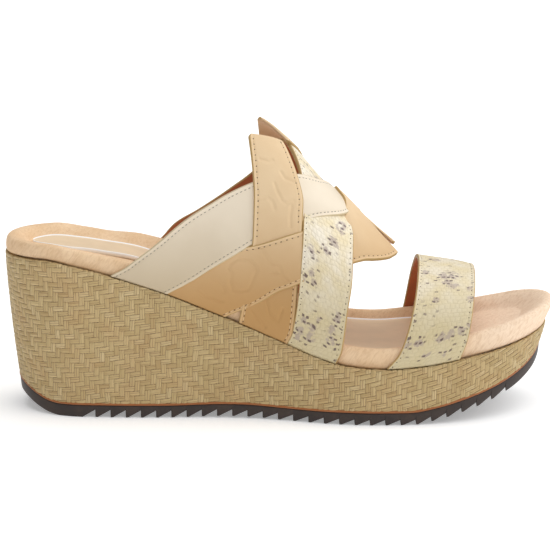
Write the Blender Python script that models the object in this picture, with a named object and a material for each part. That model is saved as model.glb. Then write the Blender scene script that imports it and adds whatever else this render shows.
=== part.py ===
"""Wedge slide sandal for the right foot: a woven-wrapped wedge on a saw-toothed outsole, a moulded
footbed with an insole pad, one upper of six interlaced straps and one wide strap over the toes.

Metres, +Z up. +X runs from heel to toe and -Y is the outer side of the foot. The origin lies on the
floor under the middle of the shoe.
"""

import math

import bmesh
import bpy
import numpy as np

# Driving sizes of the sole. LENGTH is the wedge's, and the footbed's toe reaches a little past it.
LENGTH = 0.2543
BALL_WIDTH = 0.0925
HEEL_HEIGHT = 0.0735
BALL_HEIGHT = 0.0260
TOE_RISE = 0.0125
OUTSOLE_THICKNESS = 0.0064
TOE_SPRING = 0.0240
HEEL_BEVEL = 0.0085
ARCH_RISE = 0.0009
SIDE_DRAFT = 0.0055
DRAFT_CURVE = 1.4

# Saw-toothed tread, between two shares of LENGTH
TREAD_DEPTH = 0.0026
TREAD_DRAFT = 0.0005
TREAD_PITCH = 0.00705
TREAD_LAND = 0.0009
TREAD_SPAN = {"start": 0.141, "end": 0.920}

# Upper
INSTEP_HEIGHT = 0.0847
STRAP_THICKNESS = 0.0018
STRAP_BITE = 0.0005
CLEARANCE = 0.0003

# Footbed and insole pad. The straps stand on the ledge of the wedge round the footbed.
LEDGE_MARGIN = 0.0010
LEDGE = STRAP_THICKNESS + LEDGE_MARGIN
RECESS_DEPTH = 0.0040
RECESS_SLOPE = 0.0020
RIM_HEIGHT = 0.0093
RIM_ROUNDING = 0.0022
RIM_CREST = 0.0036
RIM_SLOPE = 0.0185
RIM_HOLLOW = 1.5
TOE_FLARE = 0.0040
PAD_THICKNESS = 0.0016
PAD_BORDER = 0.0010
PAD_SPAN = {"start": 0.050, "end": 0.810}
PAD_ROUND = {"heel": 0.12, "toe": 0.10}
PAD_SQUARENESS = 2.5

# Mesh fineness, and the angles past which an edge is shaded sharp
PLAN_STEPS = 34
WALL_RINGS = 4
SLOPE_RINGS = 4
STRAP_STEPS = 26
STRAP_LANES = 3
SHARP_SOLE = 35
SHARP_TREAD = 25


def columns(names, rows):
    """A table as one array for each named column."""
    return dict(zip(names.split(), np.array(rows, float).T))


# Plan: width as a share of BALL_WIDTH, and the middle line's shift to the inner side, likewise.
# draft is how far the wedge's foot is drawn in under its top edge, as a share of SIDE_DRAFT.
PLAN = columns("along width middle draft", [
    (0.00, 0.705, 0.000, 1.00),
    (0.08, 0.712, 0.000, 0.70),
    (0.16, 0.728, 0.000, 0.30),
    (0.26, 0.716, -0.006, 0.10),
    (0.37, 0.684, -0.018, 0.10),
    (0.44, 0.706, -0.020, 0.10),
    (0.51, 0.786, -0.021, 0.10),
    (0.60, 0.928, -0.023, 0.10),
    (0.68, 0.994, -0.016, 0.10),
    (0.75, 1.000, -0.004, 0.10),
    (0.82, 1.000, 0.006, 0.12),
    (0.90, 1.000, 0.020, 0.22),
    (1.00, 1.000, 0.070, 0.45),
])
PLAN_ROUND = {"heel": 0.14, "toe": 0.28}
HEEL_SQUARENESS = 2.15
TOE_SQUARENESS = 2.10

# Heights of the wedge's top edge: heel is the share of the drop from heel to ball, toe of TOE_RISE.
TOP_LINE = columns("along heel toe", [
    (0.00, 1.000, 0.00),
    (0.074, 1.000, 0.00),
    (0.135, 0.945, 0.00),
    (0.195, 0.862, 0.00),
    (0.296, 0.688, 0.00),
    (0.367, 0.535, 0.00),
    (0.437, 0.385, 0.00),
    (0.508, 0.235, 0.00),
    (0.568, 0.112, 0.00),
    (0.629, 0.024, 0.00),
    (0.689, 0.000, 0.00),
    (0.760, 0.000, 0.09),
    (0.830, 0.000, 0.29),
    (0.891, 0.000, 0.48),
    (0.941, 0.000, 0.68),
    (1.00, 0.000, 1.00),
])

# Heights of the outsole's underside: heel is a share of HEEL_BEVEL, arch of ARCH_RISE, toe of TOE_SPRING.
TREAD_LINE = columns("along heel arch toe", [
    (0.000, 1.00, 0.0, 0.00),
    (0.024, 0.70, 0.0, 0.00),
    (0.049, 0.38, 0.0, 0.00),
    (0.077, 0.10, 0.0, 0.00),
    (0.100, 0.00, 0.0, 0.00),
    (0.296, 0.00, 0.0, 0.00),
    (0.417, 0.00, 1.0, 0.00),
    (0.558, 0.00, 0.0, 0.00),
    (0.740, 0.00, 0.0, 0.00),
    (0.786, 0.00, 0.0, 0.07),
    (0.841, 0.00, 0.0, 0.21),
    (0.892, 0.00, 0.0, 0.37),
    (0.946, 0.00, 0.0, 0.59),
    (0.981, 0.00, 0.0, 0.80),
    (1.000, 0.00, 0.0, 1.00),
])

# Footbed heights over the wedge's top edge, as shares of RIM_HEIGHT: the rim on the outer and the
# inner side, which climbs at the arch, and the floor that the insole pad lies on. flare is how far
# the footbed's side leans out round the toe, as a share of TOE_FLARE, and slope how far in from its
# side the floor begins, as a share of RIM_SLOPE.
BED = columns("along outer inner floor flare slope", [
    (0.00, 0.82, 0.82, 0.24, 0.0, 0.48),
    (0.08, 0.80, 0.80, 0.27, 0.0, 0.72),
    (0.17, 0.86, 0.92, 0.50, 0.0, 0.92),
    (0.25, 1.03, 1.34, 0.75, 0.0, 0.88),
    (0.35, 1.06, 1.55, 0.77, 0.0, 0.75),
    (0.45, 1.04, 1.42, 0.69, 0.0, 0.62),
    (0.55, 1.00, 1.12, 0.56, 0.0, 0.52),
    (0.65, 0.99, 0.99, 0.46, 0.0, 0.48),
    (0.78, 1.04, 1.04, 0.43, 0.0, 0.48),
    (0.87, 1.12, 1.12, 0.54, 0.0, 0.48),
    (0.92, 1.18, 1.20, 0.66, 0.3, 0.48),
    (0.96, 1.22, 1.26, 0.76, 0.7, 0.48),
    (1.00, 1.24, 1.26, 0.84, 1.0, 0.48),
])

# The last under the straps: height of its crown over the rim as a share of INSTEP_HEIGHT, and the
# crown's shift to the inner side as a share of BALL_WIDTH.
LAST = columns("along crown middle", [
    (0.175, 1.400, 0.020),
    (0.296, 1.220, 0.020),
    (0.397, 1.085, 0.022),
    (0.452, 1.000, 0.025),
    (0.523, 0.893, 0.030),
    (0.578, 0.763, 0.035),
    (0.634, 0.645, 0.038),
    (0.693, 0.505, 0.040),
    (0.721, 0.437, 0.040),
    (0.753, 0.373, 0.040),
    (0.777, 0.351, 0.040),
    (0.831, 0.301, 0.040),
    (0.860, 0.269, 0.040),
    (0.921, 0.200, 0.040),
])
LAST_FULLNESS = 2.1


def curve(table, column, share):
    """A table's column at shares of the length, on a smooth curve that never swings past its rows."""
    x, y = table["along"], table[column]
    share = np.clip(np.asarray(share, float), x[0], x[-1])
    rise = np.diff(y) / np.diff(x)
    product = rise[:-1] * rise[1:]
    middle = np.where(product > 0, 2 * product / np.where(product > 0, rise[:-1] + rise[1:], 1.0), 0.0)
    slope = np.concatenate([rise[:1], middle, rise[-1:]])
    i = np.clip(np.searchsorted(x, share, side="right") - 1, 0, len(x) - 2)
    h = x[i + 1] - x[i]
    t = (share - x[i]) / h
    return (y[i] * (1 + 2 * t) * (1 - t) ** 2 + y[i + 1] * t * t * (3 - 2 * t)
            + h * t * (1 - t) * (slope[i] * (1 - t) - slope[i + 1] * t))


def top_height(share):
    """Height of the wedge's top edge."""
    return (BALL_HEIGHT + (HEEL_HEIGHT - BALL_HEIGHT) * curve(TOP_LINE, "heel", share)
            + TOE_RISE * curve(TOP_LINE, "toe", share))


def tread_height(share):
    """Height of the outsole's underside, before the teeth are cut."""
    heel = curve(TREAD_LINE, "heel", share)
    arch = curve(TREAD_LINE, "arch", share)
    toe = curve(TREAD_LINE, "toe", share)
    return HEEL_BEVEL * heel + ARCH_RISE * arch + TOE_SPRING * toe


def rounding(share):
    """How much of the full width is left near the round ends of the plan."""
    share = np.asarray(share, float)
    heel = np.clip(1 - share / PLAN_ROUND["heel"], 0, 1)
    toe = np.clip((share - 1) / PLAN_ROUND["toe"] + 1, 0, 1)
    return ((1 - heel ** HEEL_SQUARENESS) ** (1 / HEEL_SQUARENESS)
            * (1 - toe ** TOE_SQUARENESS) ** (1 / TOE_SQUARENESS))


def edge_y(share, side):
    """The wedge's top edge in plan, side -1 for the outer and +1 for the inner side."""
    half = BALL_WIDTH / 2 * curve(PLAN, "width", share) * rounding(share)
    return BALL_WIDTH * curve(PLAN, "middle", share) + side * half


def plan_ring():
    """The wedge's top edge as a closed ring: outer side from heel to toe, then back on the inner."""
    turn = np.linspace(0, math.pi, PLAN_STEPS + 1)
    share = (1 - np.cos(turn)) / 2
    outer = np.stack([share * LENGTH, edge_y(share, -1)], 1)
    inner = np.stack([share * LENGTH, edge_y(share, 1)], 1)[-2:0:-1]
    return np.concatenate([outer, inner])


RING = plan_ring()
MIDDLE_SHIFT = (RING[:, 1].max() + RING[:, 1].min()) / 2
REACH = LENGTH + TOE_FLARE - LEDGE
RING_SIDE = np.where(np.arange(len(RING)) <= PLAN_STEPS, -1, 1)


def inset_ring(distance):
    """The plan ring drawn in along its normals, by one distance or by one for each point."""
    along = np.roll(RING, -1, 0) - np.roll(RING, 1, 0)
    along /= np.linalg.norm(along, axis=1)[:, None]
    inward = np.stack([-along[:, 1], along[:, 0]], 1)
    return RING + inward * np.broadcast_to(distance, len(RING))[:, None]


def lifted(ring, height):
    """A flat ring with a height for each point."""
    return np.column_stack([ring, np.broadcast_to(height, len(ring))])


def share_of(ring):
    return ring[:, 0] / LENGTH


def rim_height(share, side):
    """Height of the footbed's rim on one side of the foot."""
    rim = np.where(side < 0, curve(BED, "outer", share), curve(BED, "inner", share))
    return top_height(share) + RIM_HEIGHT * rim


def floor_height(share):
    """Height of the footbed's floor, which the insole pad lies on."""
    return top_height(share) + RIM_HEIGHT * curve(BED, "floor", share)


def material(name, colour, roughness, metallic=0.0):
    made = bpy.data.materials.new(name)
    made.use_nodes = True
    shader = made.node_tree.nodes["Principled BSDF"]
    shader.inputs["Base Color"].default_value = (*colour, 1.0)
    shader.inputs["Roughness"].default_value = roughness
    shader.inputs["Metallic"].default_value = metallic
    return made


def add_object(name, bm, finish):
    """The finished mesh as a named object, moved so that the origin is under the shoe's middle."""
    bmesh.ops.translate(bm, verts=bm.verts, vec=(-REACH / 2, -MIDDLE_SHIFT, 0))
    mesh = bpy.data.meshes.new(name)
    bm.to_mesh(mesh)
    bm.free()
    made = bpy.data.objects.new(name, mesh)
    made.data.materials.append(finish)
    bpy.context.scene.collection.objects.link(made)
    return made


def shade_round(made, angle):
    """Smooth shading, with edges past the angle, in degrees, kept sharp."""
    made.data.shade_smooth()
    made.data.set_sharp_from_angle(angle=math.radians(angle))


def stack(rings):
    """A closed body from rings, from its underside round to its upper side, with ladder caps."""
    bm = bmesh.new()
    loops = [[bm.verts.new(p) for p in ring] for ring in rings]
    n = len(rings[0])
    for low, high in zip(loops, loops[1:]):
        for i in range(n):
            j = (i + 1) % n
            bm.faces.new((low[i], low[j], high[j], high[i]))
    half = n // 2
    for loop, facing in ((loops[0], -1), (loops[-1], 1)):
        for i in range(half):
            outer, inner = (loop[i], loop[i + 1]), (loop[-i - 1], loop[-i])
            corners = list(dict.fromkeys((outer[0], outer[1], inner[0], inner[1])))
            bm.faces.new(corners[::facing])
    bm.normal_update()
    return bm


# The tread, the wedge and the footbed
def build_outsole(finish):
    """Rubber outsole: a slab under the wedge, its underside cut into a saw-toothed tread."""
    foot = SIDE_DRAFT * curve(PLAN, "draft", share_of(RING))
    tread = tread_height(share_of(RING))
    rings = [
        lifted(inset_ring(foot + TREAD_DRAFT), tread),
        lifted(inset_ring(foot), tread + OUTSOLE_THICKNESS - CLEARANCE),
    ]
    outsole = add_object("outsole", stack(rings), finish)
    cut_tread(outsole)
    shade_round(outsole, SHARP_TREAD)


def cut_tread(outsole):
    """Cross grooves, each sloping up towards the toe to the upright face of the next tooth."""
    bm = bmesh.new()
    reach = BALL_WIDTH
    count = int((TREAD_SPAN["end"] - TREAD_SPAN["start"]) * LENGTH / TREAD_PITCH)
    for k in range(count):
        start = TREAD_SPAN["start"] * LENGTH + k * TREAD_PITCH + TREAD_LAND
        end = start + TREAD_PITCH - TREAD_LAND
        profile = [
            (start, -OUTSOLE_THICKNESS),
            (end, -OUTSOLE_THICKNESS),
            (end, float(tread_height(end / LENGTH)) + TREAD_DEPTH),
            (start, float(tread_height(start / LENGTH))),
        ]
        face = bm.faces.new([bm.verts.new((x, -reach, z)) for x, z in profile])
        made = bmesh.ops.extrude_face_region(bm, geom=[face])["geom"]
        moved = [v for v in made if isinstance(v, bmesh.types.BMVert)]
        bmesh.ops.translate(bm, verts=moved, vec=(0, 2 * reach, 0))
    bmesh.ops.recalc_face_normals(bm, faces=bm.faces)
    cutter = add_object("tread_cutter", bm, outsole.data.materials[0])
    cutter.hide_render = True
    cutter.display_type = "WIRE"
    cut = outsole.modifiers.new("tread", "BOOLEAN")
    cut.operation = "DIFFERENCE"
    cut.object = cutter


def build_wedge(finish):
    """Wrapped wedge: drawn in towards its foot, with a shallow recess that the footbed sits in."""
    share = share_of(RING)
    foot = SIDE_DRAFT * curve(PLAN, "draft", share)
    low, high = tread_height(share) + OUTSOLE_THICKNESS, top_height(share)
    rings = [lifted(inset_ring(foot), low)]
    for up in np.linspace(0, 1, WALL_RINGS + 1)[1:-1]:
        rings.append(lifted(inset_ring(foot * (1 - up) ** DRAFT_CURVE), low + (high - low) * up))
    rings.append(lifted(RING, high))
    seat = inset_ring(LEDGE - CLEARANCE)
    rings.append(lifted(seat, top_height(share_of(seat))))
    well = inset_ring(LEDGE + RECESS_SLOPE)
    rings.append(lifted(well, top_height(share_of(well)) - RECESS_DEPTH))
    shade_round(add_object("wedge", stack(rings), finish), SHARP_SOLE)


def build_footbed(finish):
    """Moulded footbed: set into the wedge's recess, with a round rim and a dished floor."""
    rings = []
    for inset, level in (
        (LEDGE + RECESS_SLOPE + CLEARANCE, -RECESS_DEPTH + CLEARANCE),
        (LEDGE, 2 * CLEARANCE),
    ):
        ring = inset_ring(inset)
        rings.append(lifted(ring, top_height(share_of(ring)) + level))
    flare = TOE_FLARE * curve(BED, "flare", share_of(RING))
    corner = RIM_ROUNDING * (1 - math.sqrt(0.5))
    for inset, drop in (
        (LEDGE, RIM_ROUNDING),
        (LEDGE + corner, corner),
        (LEDGE + RIM_CREST, 0.0),
    ):
        ring = inset_ring(inset - flare)
        rings.append(lifted(ring, rim_height(share_of(ring), RING_SIDE) - drop))
    slope = RIM_SLOPE * curve(BED, "slope", share_of(RING)) - RIM_CREST
    for part in np.linspace(0, 1, SLOPE_RINGS)[1:]:
        ring = inset_ring(LEDGE + RIM_CREST + slope * part - flare * (1 - part))
        share = share_of(ring)
        rim, floor = rim_height(share, RING_SIDE), floor_height(share)
        rings.append(lifted(ring, rim + (floor - rim) * part ** RIM_HOLLOW))
    shade_round(add_object("footbed", stack(rings), finish), SHARP_SOLE)


def build_pad(finish):
    """Insole pad: a thin sheet on the footbed's floor, from the heel to under the toe strap."""
    along = (RING[:, 0] - RING[:, 0].min()) / np.ptp(RING[:, 0])
    share = PAD_SPAN["start"] + (PAD_SPAN["end"] - PAD_SPAN["start"]) * along
    border = LEDGE + RIM_SLOPE * curve(BED, "slope", share) + PAD_BORDER
    outer, inner = edge_y(share, -1) + border, edge_y(share, 1) - border
    heel = np.clip(1 - along / PAD_ROUND["heel"], 0, 1) ** PAD_SQUARENESS
    toe = np.clip((along - 1) / PAD_ROUND["toe"] + 1, 0, 1) ** PAD_SQUARENESS
    half = (inner - outer) / 2 * ((1 - heel) * (1 - toe)) ** (1 / PAD_SQUARENESS)
    pad = np.stack([share * LENGTH, (outer + inner) / 2 + RING_SIDE * half], 1)
    floor = floor_height(share) + CLEARANCE
    rings = [lifted(pad, floor), lifted(pad, floor + PAD_THICKNESS)]
    shade_round(add_object("insole", stack(rings), finish), SHARP_SOLE)


# The straps lie on a last. A turn round it is 0 at the outer rim, 0.5 on the crown, 1 at the inner
# rim, and -1 or 2 where the wall meets the wedge.
TURNS = np.linspace(-1, 2, 241)


def last_point(share, around):
    share, around = np.broadcast_arrays(share, around)
    side = np.where(around < 0.5, -1.0, 1.0)
    wall_y = edge_y(share, side) - side * (LEDGE - CLEARANCE)
    foot_z = top_height(share) + 2 * CLEARANCE
    rim_z = rim_height(share, side) - RIM_ROUNDING
    crown_z = (top_height(share) + RIM_HEIGHT + INSTEP_HEIGHT * curve(LAST, "crown", share))
    crown_y = BALL_WIDTH * curve(LAST, "middle", share)
    turn = math.pi * np.clip(around, 0, 1)
    power = 2 / LAST_FULLNESS
    reach = np.abs(np.cos(turn)) ** power
    rise = np.abs(np.sin(turn)) ** power
    below = np.where(side < 0, np.clip(-around, 0, 1), np.clip(around - 1, 0, 1))
    y = crown_y + (wall_y - crown_y) * reach
    z = rim_z + (crown_z - rim_z) * rise - (rim_z - foot_z) * below
    return np.stack([share * LENGTH, y, z], -1)


def last_normal(share, around):
    """Unit normal of the last, pointing away from the foot."""
    step = 1e-3
    along = last_point(share + step, around) - last_point(share - step, around)
    round_it = last_point(share, around + step) - last_point(share, around - step)
    out = np.cross(along, round_it)
    out /= np.linalg.norm(out, axis=-1)[..., None]
    wall = (around < 0) | (around > 1)
    flat = out * np.array([1.0, 1.0, 0.0])
    flat /= np.linalg.norm(flat, axis=-1)[..., None]
    return np.where(wall[..., None], flat, out)


def turn_at(share, girth):
    """The turn round the last at a share of its girth, from the outer wall's foot to the inner one's."""
    share, girth = np.broadcast_arrays(share, girth)
    line = last_point(share[..., None], TURNS)
    step = np.linalg.norm(np.diff(line, axis=-2), axis=-1)
    length = np.concatenate([np.zeros((*share.shape, 1)), np.cumsum(step, axis=-1)], -1)
    reached = length / length[..., -1:]
    after = np.clip((reached < girth[..., None]).sum(-1), 1, len(TURNS) - 1)[..., None]
    low = np.take_along_axis(reached, after - 1, -1)[..., 0]
    high = np.take_along_axis(reached, after, -1)[..., 0]
    part = np.clip((girth - low) / (high - low), 0, 1)
    return TURNS[after[..., 0] - 1] + part * (TURNS[1] - TURNS[0])


# Straps: a row for each station from the outer side inwards, along its share of the strap's length,
# with the place of the rear and of the front edge, as a share of the shoe's length and of the
# girth there, and how many layers each edge lies over the last.
STRAP_COLUMNS = "along rear_x rear_girth front_x front_girth rear_lift front_lift"

LONG_STRAP = columns(STRAP_COLUMNS, [
    (0.000, 0.199, 0.0000, 0.302, 0.0000, 0.0, 0.3),
    (0.038, 0.225, 0.0208, 0.327, 0.0249, 0.0, 0.7),
    (0.067, 0.245, 0.0423, 0.345, 0.0439, 0.0, 0.8),
    (0.118, 0.280, 0.0832, 0.374, 0.0790, 0.0, 0.9),
    (0.202, 0.342, 0.1699, 0.416, 0.1308, 0.0, 0.9),
    (0.250, 0.381, 0.2210, 0.442, 0.1655, 0.0, 0.7),
    (0.280, 0.405, 0.2540, 0.458, 0.1874, 0.0, 0.0),
    (0.359, 0.465, 0.3329, 0.511, 0.2573, 0.0, 0.0),
    (0.437, 0.527, 0.4046, 0.563, 0.3319, 0.5, 0.5),
    (0.533, 0.573, 0.4821, 0.621, 0.4282, 1.0, 1.0),
    (0.637, 0.591, 0.5761, 0.646, 0.5585, 1.0, 1.0),
    (0.738, 0.575, 0.6939, 0.641, 0.6893, 1.0, 1.0),
    (0.858, 0.545, 0.8367, 0.628, 0.8415, 0.8, 0.7),
    (0.965, 0.530, 0.9589, 0.618, 0.9623, 0.2, 0.2),
    (1.000, 0.519, 1.0000, 0.608, 1.0000, 0.0, 0.0),
])

CROSS_STRAP = columns(STRAP_COLUMNS, [
    (0.000, 0.519, 0.0000, 0.608, 0.0000, 0.0, 0.0),
    (0.031, 0.529, 0.0333, 0.618, 0.0368, 0.2, 0.2),
    (0.129, 0.542, 0.1539, 0.627, 0.1379, 1.0, 0.9),
    (0.217, 0.545, 0.2576, 0.634, 0.2377, 1.0, 1.0),
    (0.302, 0.545, 0.3355, 0.634, 0.3499, 0.3, 0.4),
    (0.400, 0.540, 0.4214, 0.618, 0.4590, 0.0, 0.0),
    (0.503, 0.517, 0.5068, 0.577, 0.5357, 0.3, 0.3),
    (0.572, 0.496, 0.5748, 0.557, 0.6164, 0.0, 0.0),
    (0.650, 0.465, 0.6739, 0.530, 0.7067, 0.0, 0.0),
    (0.730, 0.411, 0.7713, 0.486, 0.7797, 0.0, 0.3),
    (0.815, 0.352, 0.8545, 0.430, 0.8501, 0.0, 0.9),
    (0.881, 0.306, 0.9107, 0.387, 0.9000, 0.0, 0.9),
    (0.936, 0.275, 0.9589, 0.363, 0.9500, 0.0, 0.8),
    (1.000, 0.230, 1.0000, 0.324, 1.0000, 0.0, 0.3),
])

REAR_TONGUE = columns(STRAP_COLUMNS, [
    (0.000, 0.431, 0.0000, 0.521, 0.0000, 0.0, 0.0),
    (0.067, 0.436, 0.0314, 0.531, 0.0334, 0.0, 0.0),
    (0.305, 0.447, 0.1232, 0.540, 0.1717, 0.0, 0.0),
    (0.487, 0.457, 0.2042, 0.545, 0.2691, 0.7, 0.2),
    (0.660, 0.458, 0.2833, 0.544, 0.3470, 1.0, 0.9),
    (0.803, 0.454, 0.3437, 0.531, 0.4039, 1.0, 1.1),
    (0.925, 0.448, 0.3922, 0.515, 0.4433, 1.0, 1.3),
    (1.000, 0.444, 0.4192, 0.502, 0.4678, 1.0, 1.4),
])

FRONT_TONGUE = columns(STRAP_COLUMNS, [
    (0.000, 0.285, 0.0000, 0.407, 0.0000, 0.0, 0.0),
    (0.069, 0.312, 0.0254, 0.435, 0.0282, 0.0, 0.0),
    (0.118, 0.330, 0.0456, 0.455, 0.0480, 0.0, 0.0),
    (0.197, 0.362, 0.0925, 0.478, 0.0758, 0.0, 0.1),
    (0.299, 0.410, 0.1430, 0.508, 0.1164, 0.1, 0.5),
    (0.355, 0.439, 0.1680, 0.527, 0.1370, 0.1, 0.8),
    (0.395, 0.459, 0.1850, 0.538, 0.1508, 0.7, 1.0),
    (0.484, 0.510, 0.2380, 0.562, 0.1818, 1.0, 0.8),
    (0.562, 0.549, 0.2890, 0.589, 0.2174, 0.5, 0.1),
    (0.647, 0.585, 0.3572, 0.618, 0.2562, 0.1, 0.0),
    (0.744, 0.618, 0.4243, 0.646, 0.2940, 1.1, 0.1),
    (0.840, 0.612, 0.4944, 0.675, 0.3270, 1.8, 0.3),
    (0.925, 0.597, 0.5351, 0.702, 0.3720, 1.9, 0.5),
    (1.000, 0.604, 0.5624, 0.720, 0.4400, 2.0, 0.7),
])

TOE_STRAP = columns(STRAP_COLUMNS, [
    (0.000, 0.697, 0.0000, 0.829, 0.0000, 0.0, 0.0),
    (0.067, 0.719, 0.0453, 0.841, 0.0611, 0.0, 0.0),
    (0.185, 0.741, 0.1666, 0.852, 0.1647, 0.0, 0.0),
    (0.345, 0.754, 0.3271, 0.861, 0.3299, 0.0, 0.0),
    (0.536, 0.760, 0.5245, 0.865, 0.5308, 0.0, 0.0),
    (0.697, 0.758, 0.6911, 0.865, 0.7034, 0.0, 0.0),
    (0.827, 0.752, 0.8290, 0.861, 0.8364, 0.0, 0.0),
    (0.939, 0.741, 0.9519, 0.851, 0.9368, 0.0, 0.0),
    (1.000, 0.728, 1.0000, 0.842, 1.0000, 0.0, 0.0),
])
# How the inner side's tongues differ: their lift, how far each tip leans ahead, and how much
# farther its rear and front edge reach over the crown.
INNER_REAR = {"lift": 0.8, "lean": 0.016, "rear": 0.042, "front": 0.036}
INNER_FRONT = {"lift": 0.6, "lean": 0.0, "rear": -0.075, "front": -0.02}


def far_side(table, change):
    """The same strap on the inner side, with its lift and its tip changed."""
    other = dict(table)
    for edge in ("rear", "front"):
        other[edge + "_x"] = table[edge + "_x"] + change["lean"] * table["along"]
        other[edge + "_girth"] = 1 - table[edge + "_girth"] - change[edge] * table["along"]
        other[edge + "_lift"] = table[edge + "_lift"] * change["lift"]
    return other


def strap_grid(table, height):
    """Points of one face of a strap, stations by lanes, at a height over its underside."""
    t = np.linspace(0, 1, STRAP_STEPS + 1)[:, None]
    lane = np.linspace(0, 1, STRAP_LANES + 1)[None, :]

    def across(kind):
        return curve(table, "rear_" + kind, t) * (1 - lane) + curve(table, "front_" + kind, t) * lane

    share = across("x")
    around = turn_at(share, across("girth"))
    lift = np.maximum(across("lift"), 0) * (STRAP_THICKNESS - STRAP_BITE)
    return last_point(share, around) + last_normal(share, around) * (lift + height)[..., None]


def strap_mesh(table):
    """A strap as a closed sheet of real thickness, its ends flat on the wedge's ledge."""
    bm = bmesh.new()
    grids = []
    for height in (0.0, STRAP_THICKNESS):
        points = strap_grid(table, np.full((STRAP_STEPS + 1, STRAP_LANES + 1), height))
        grids.append([[bm.verts.new(p) for p in row] for row in points])
    inner, outer = grids
    for i in range(STRAP_STEPS):
        for j in range(STRAP_LANES):
            for grid in grids:
                bm.faces.new((grid[i][j], grid[i + 1][j], grid[i + 1][j + 1], grid[i][j + 1]))
        for j in (0, STRAP_LANES):
            bm.faces.new((inner[i][j], inner[i + 1][j], outer[i + 1][j], outer[i][j]))
    for i in (0, STRAP_STEPS):
        for j in range(STRAP_LANES):
            bm.faces.new((inner[i][j], inner[i][j + 1], outer[i][j + 1], outer[i][j]))
    bmesh.ops.triangulate(bm, faces=bm.faces)
    bmesh.ops.recalc_face_normals(bm, faces=bm.faces)
    return bm


def build_upper(finish):
    """The interlaced straps behind the toe strap, joined where they cross."""
    upper = add_object("upper", strap_mesh(LONG_STRAP), finish)
    others = (
        CROSS_STRAP,
        REAR_TONGUE,
        far_side(REAR_TONGUE, INNER_REAR),
        far_side(FRONT_TONGUE, INNER_FRONT),
        FRONT_TONGUE,
    )
    for number, table in enumerate(others):
        strap = add_object("upper_strap_%d" % number, strap_mesh(table), finish)
        strap.hide_render = True
        strap.display_type = "WIRE"
        joined = upper.modifiers.new("join", "BOOLEAN")
        joined.operation = "UNION"
        joined.object = strap
        joined.use_self = True
    shade_round(upper, SHARP_SOLE)


def build_toe_strap(finish):
    """The wide strap over the toes."""
    shade_round(add_object("front_strap", strap_mesh(TOE_STRAP), finish), SHARP_SOLE)


def clear_scene():
    for made in list(bpy.data.objects):
        bpy.data.objects.remove(made, do_unlink=True)


def build_shoe():
    clear_scene()
    rubber = material("dark_rubber", (0.030, 0.018, 0.012), 0.55)
    raffia = material("woven_raffia", (0.45, 0.33, 0.18), 0.75)
    suede = material("peach_suede", (0.72, 0.50, 0.34), 0.95)
    pad = material("smooth_pad_leather", (0.66, 0.50, 0.36), 0.60)
    nubuck = material("tan_nubuck", (0.62, 0.42, 0.24), 0.80)
    snake = material("snake_print_leather", (0.72, 0.66, 0.54), 0.55)
    build_outsole(rubber)
    build_wedge(raffia)
    build_footbed(suede)
    build_pad(pad)
    build_upper(nubuck)
    build_toe_strap(snake)


build_shoe()
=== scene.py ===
"""Looks of the woven wedge sandal: every sub-part rebuilt over its solid with its real surface.

Metres, in the solids' own frame: +X from heel to toe, +Y to the inner side of the foot, +Z up.
"""

import math

import bmesh
import bpy
import numpy as np
from mathutils import Matrix, Vector


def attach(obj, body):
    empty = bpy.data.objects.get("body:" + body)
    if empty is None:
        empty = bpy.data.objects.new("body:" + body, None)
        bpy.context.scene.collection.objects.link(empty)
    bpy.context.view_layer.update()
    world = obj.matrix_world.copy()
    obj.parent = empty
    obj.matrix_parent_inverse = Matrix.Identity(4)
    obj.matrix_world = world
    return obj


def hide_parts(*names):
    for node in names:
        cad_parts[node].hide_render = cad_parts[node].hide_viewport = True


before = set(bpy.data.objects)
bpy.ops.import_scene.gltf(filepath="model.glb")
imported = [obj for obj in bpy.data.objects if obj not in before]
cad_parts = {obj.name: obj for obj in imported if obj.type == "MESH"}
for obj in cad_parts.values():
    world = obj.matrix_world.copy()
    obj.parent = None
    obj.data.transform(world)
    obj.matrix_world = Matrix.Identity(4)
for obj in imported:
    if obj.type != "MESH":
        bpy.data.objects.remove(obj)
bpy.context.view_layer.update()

# Driving sizes of the sole. LENGTH is the wedge's, and the footbed's toe reaches a little past it.
LENGTH = 0.2543
BALL_WIDTH = 0.0925
HEEL_HEIGHT = 0.0735
BALL_HEIGHT = 0.0260
TOE_RISE = 0.0125
OUTSOLE_THICKNESS = 0.0064
TOE_SPRING = 0.0240
HEEL_BEVEL = 0.0085
ARCH_RISE = 0.0009
SIDE_DRAFT = 0.0055
DRAFT_CURVE = 1.4

# Saw-toothed tread, between two shares of LENGTH
TREAD_DEPTH = 0.0036
TREAD_DRAFT = 0.0005
TREAD_PITCH = 0.00705
TREAD_LAND = 0.0009
TREAD_SPAN = {"start": 0.141, "end": 0.920}
# Share of the tread's depth at the heel, and what it loses from there to the toe
TREAD_FADE = (1.08, 0.55)

# Upper
INSTEP_HEIGHT = 0.0847
STRAP_THICKNESS = 0.0018
STRAP_BITE = 0.0005
CLEARANCE = 0.0003

# Footbed and insole pad. The straps stand on the ledge of the wedge round the footbed.
LEDGE_MARGIN = 0.0010
LEDGE = STRAP_THICKNESS + LEDGE_MARGIN
RECESS_DEPTH = 0.0040
RECESS_SLOPE = 0.0020
RIM_HEIGHT = 0.0093
RIM_ROUNDING = 0.0022
RIM_CREST = 0.0036
RIM_SLOPE = 0.0185
RIM_HOLLOW = 1.5
TOE_FLARE = 0.0040
PAD_BORDER = 0.0010
PAD_SPAN = {"start": 0.050, "end": 0.810}
PAD_ROUND = {"heel": 0.12, "toe": 0.10}
PAD_SQUARENESS = 2.5

# Mesh fineness, and how near corners are merged
PLAN_STEPS = 140
MERGE = 2e-6


def columns(names, rows):
    """A table as one array for each named column."""
    return dict(zip(names.split(), np.array(rows, float).T))


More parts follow.
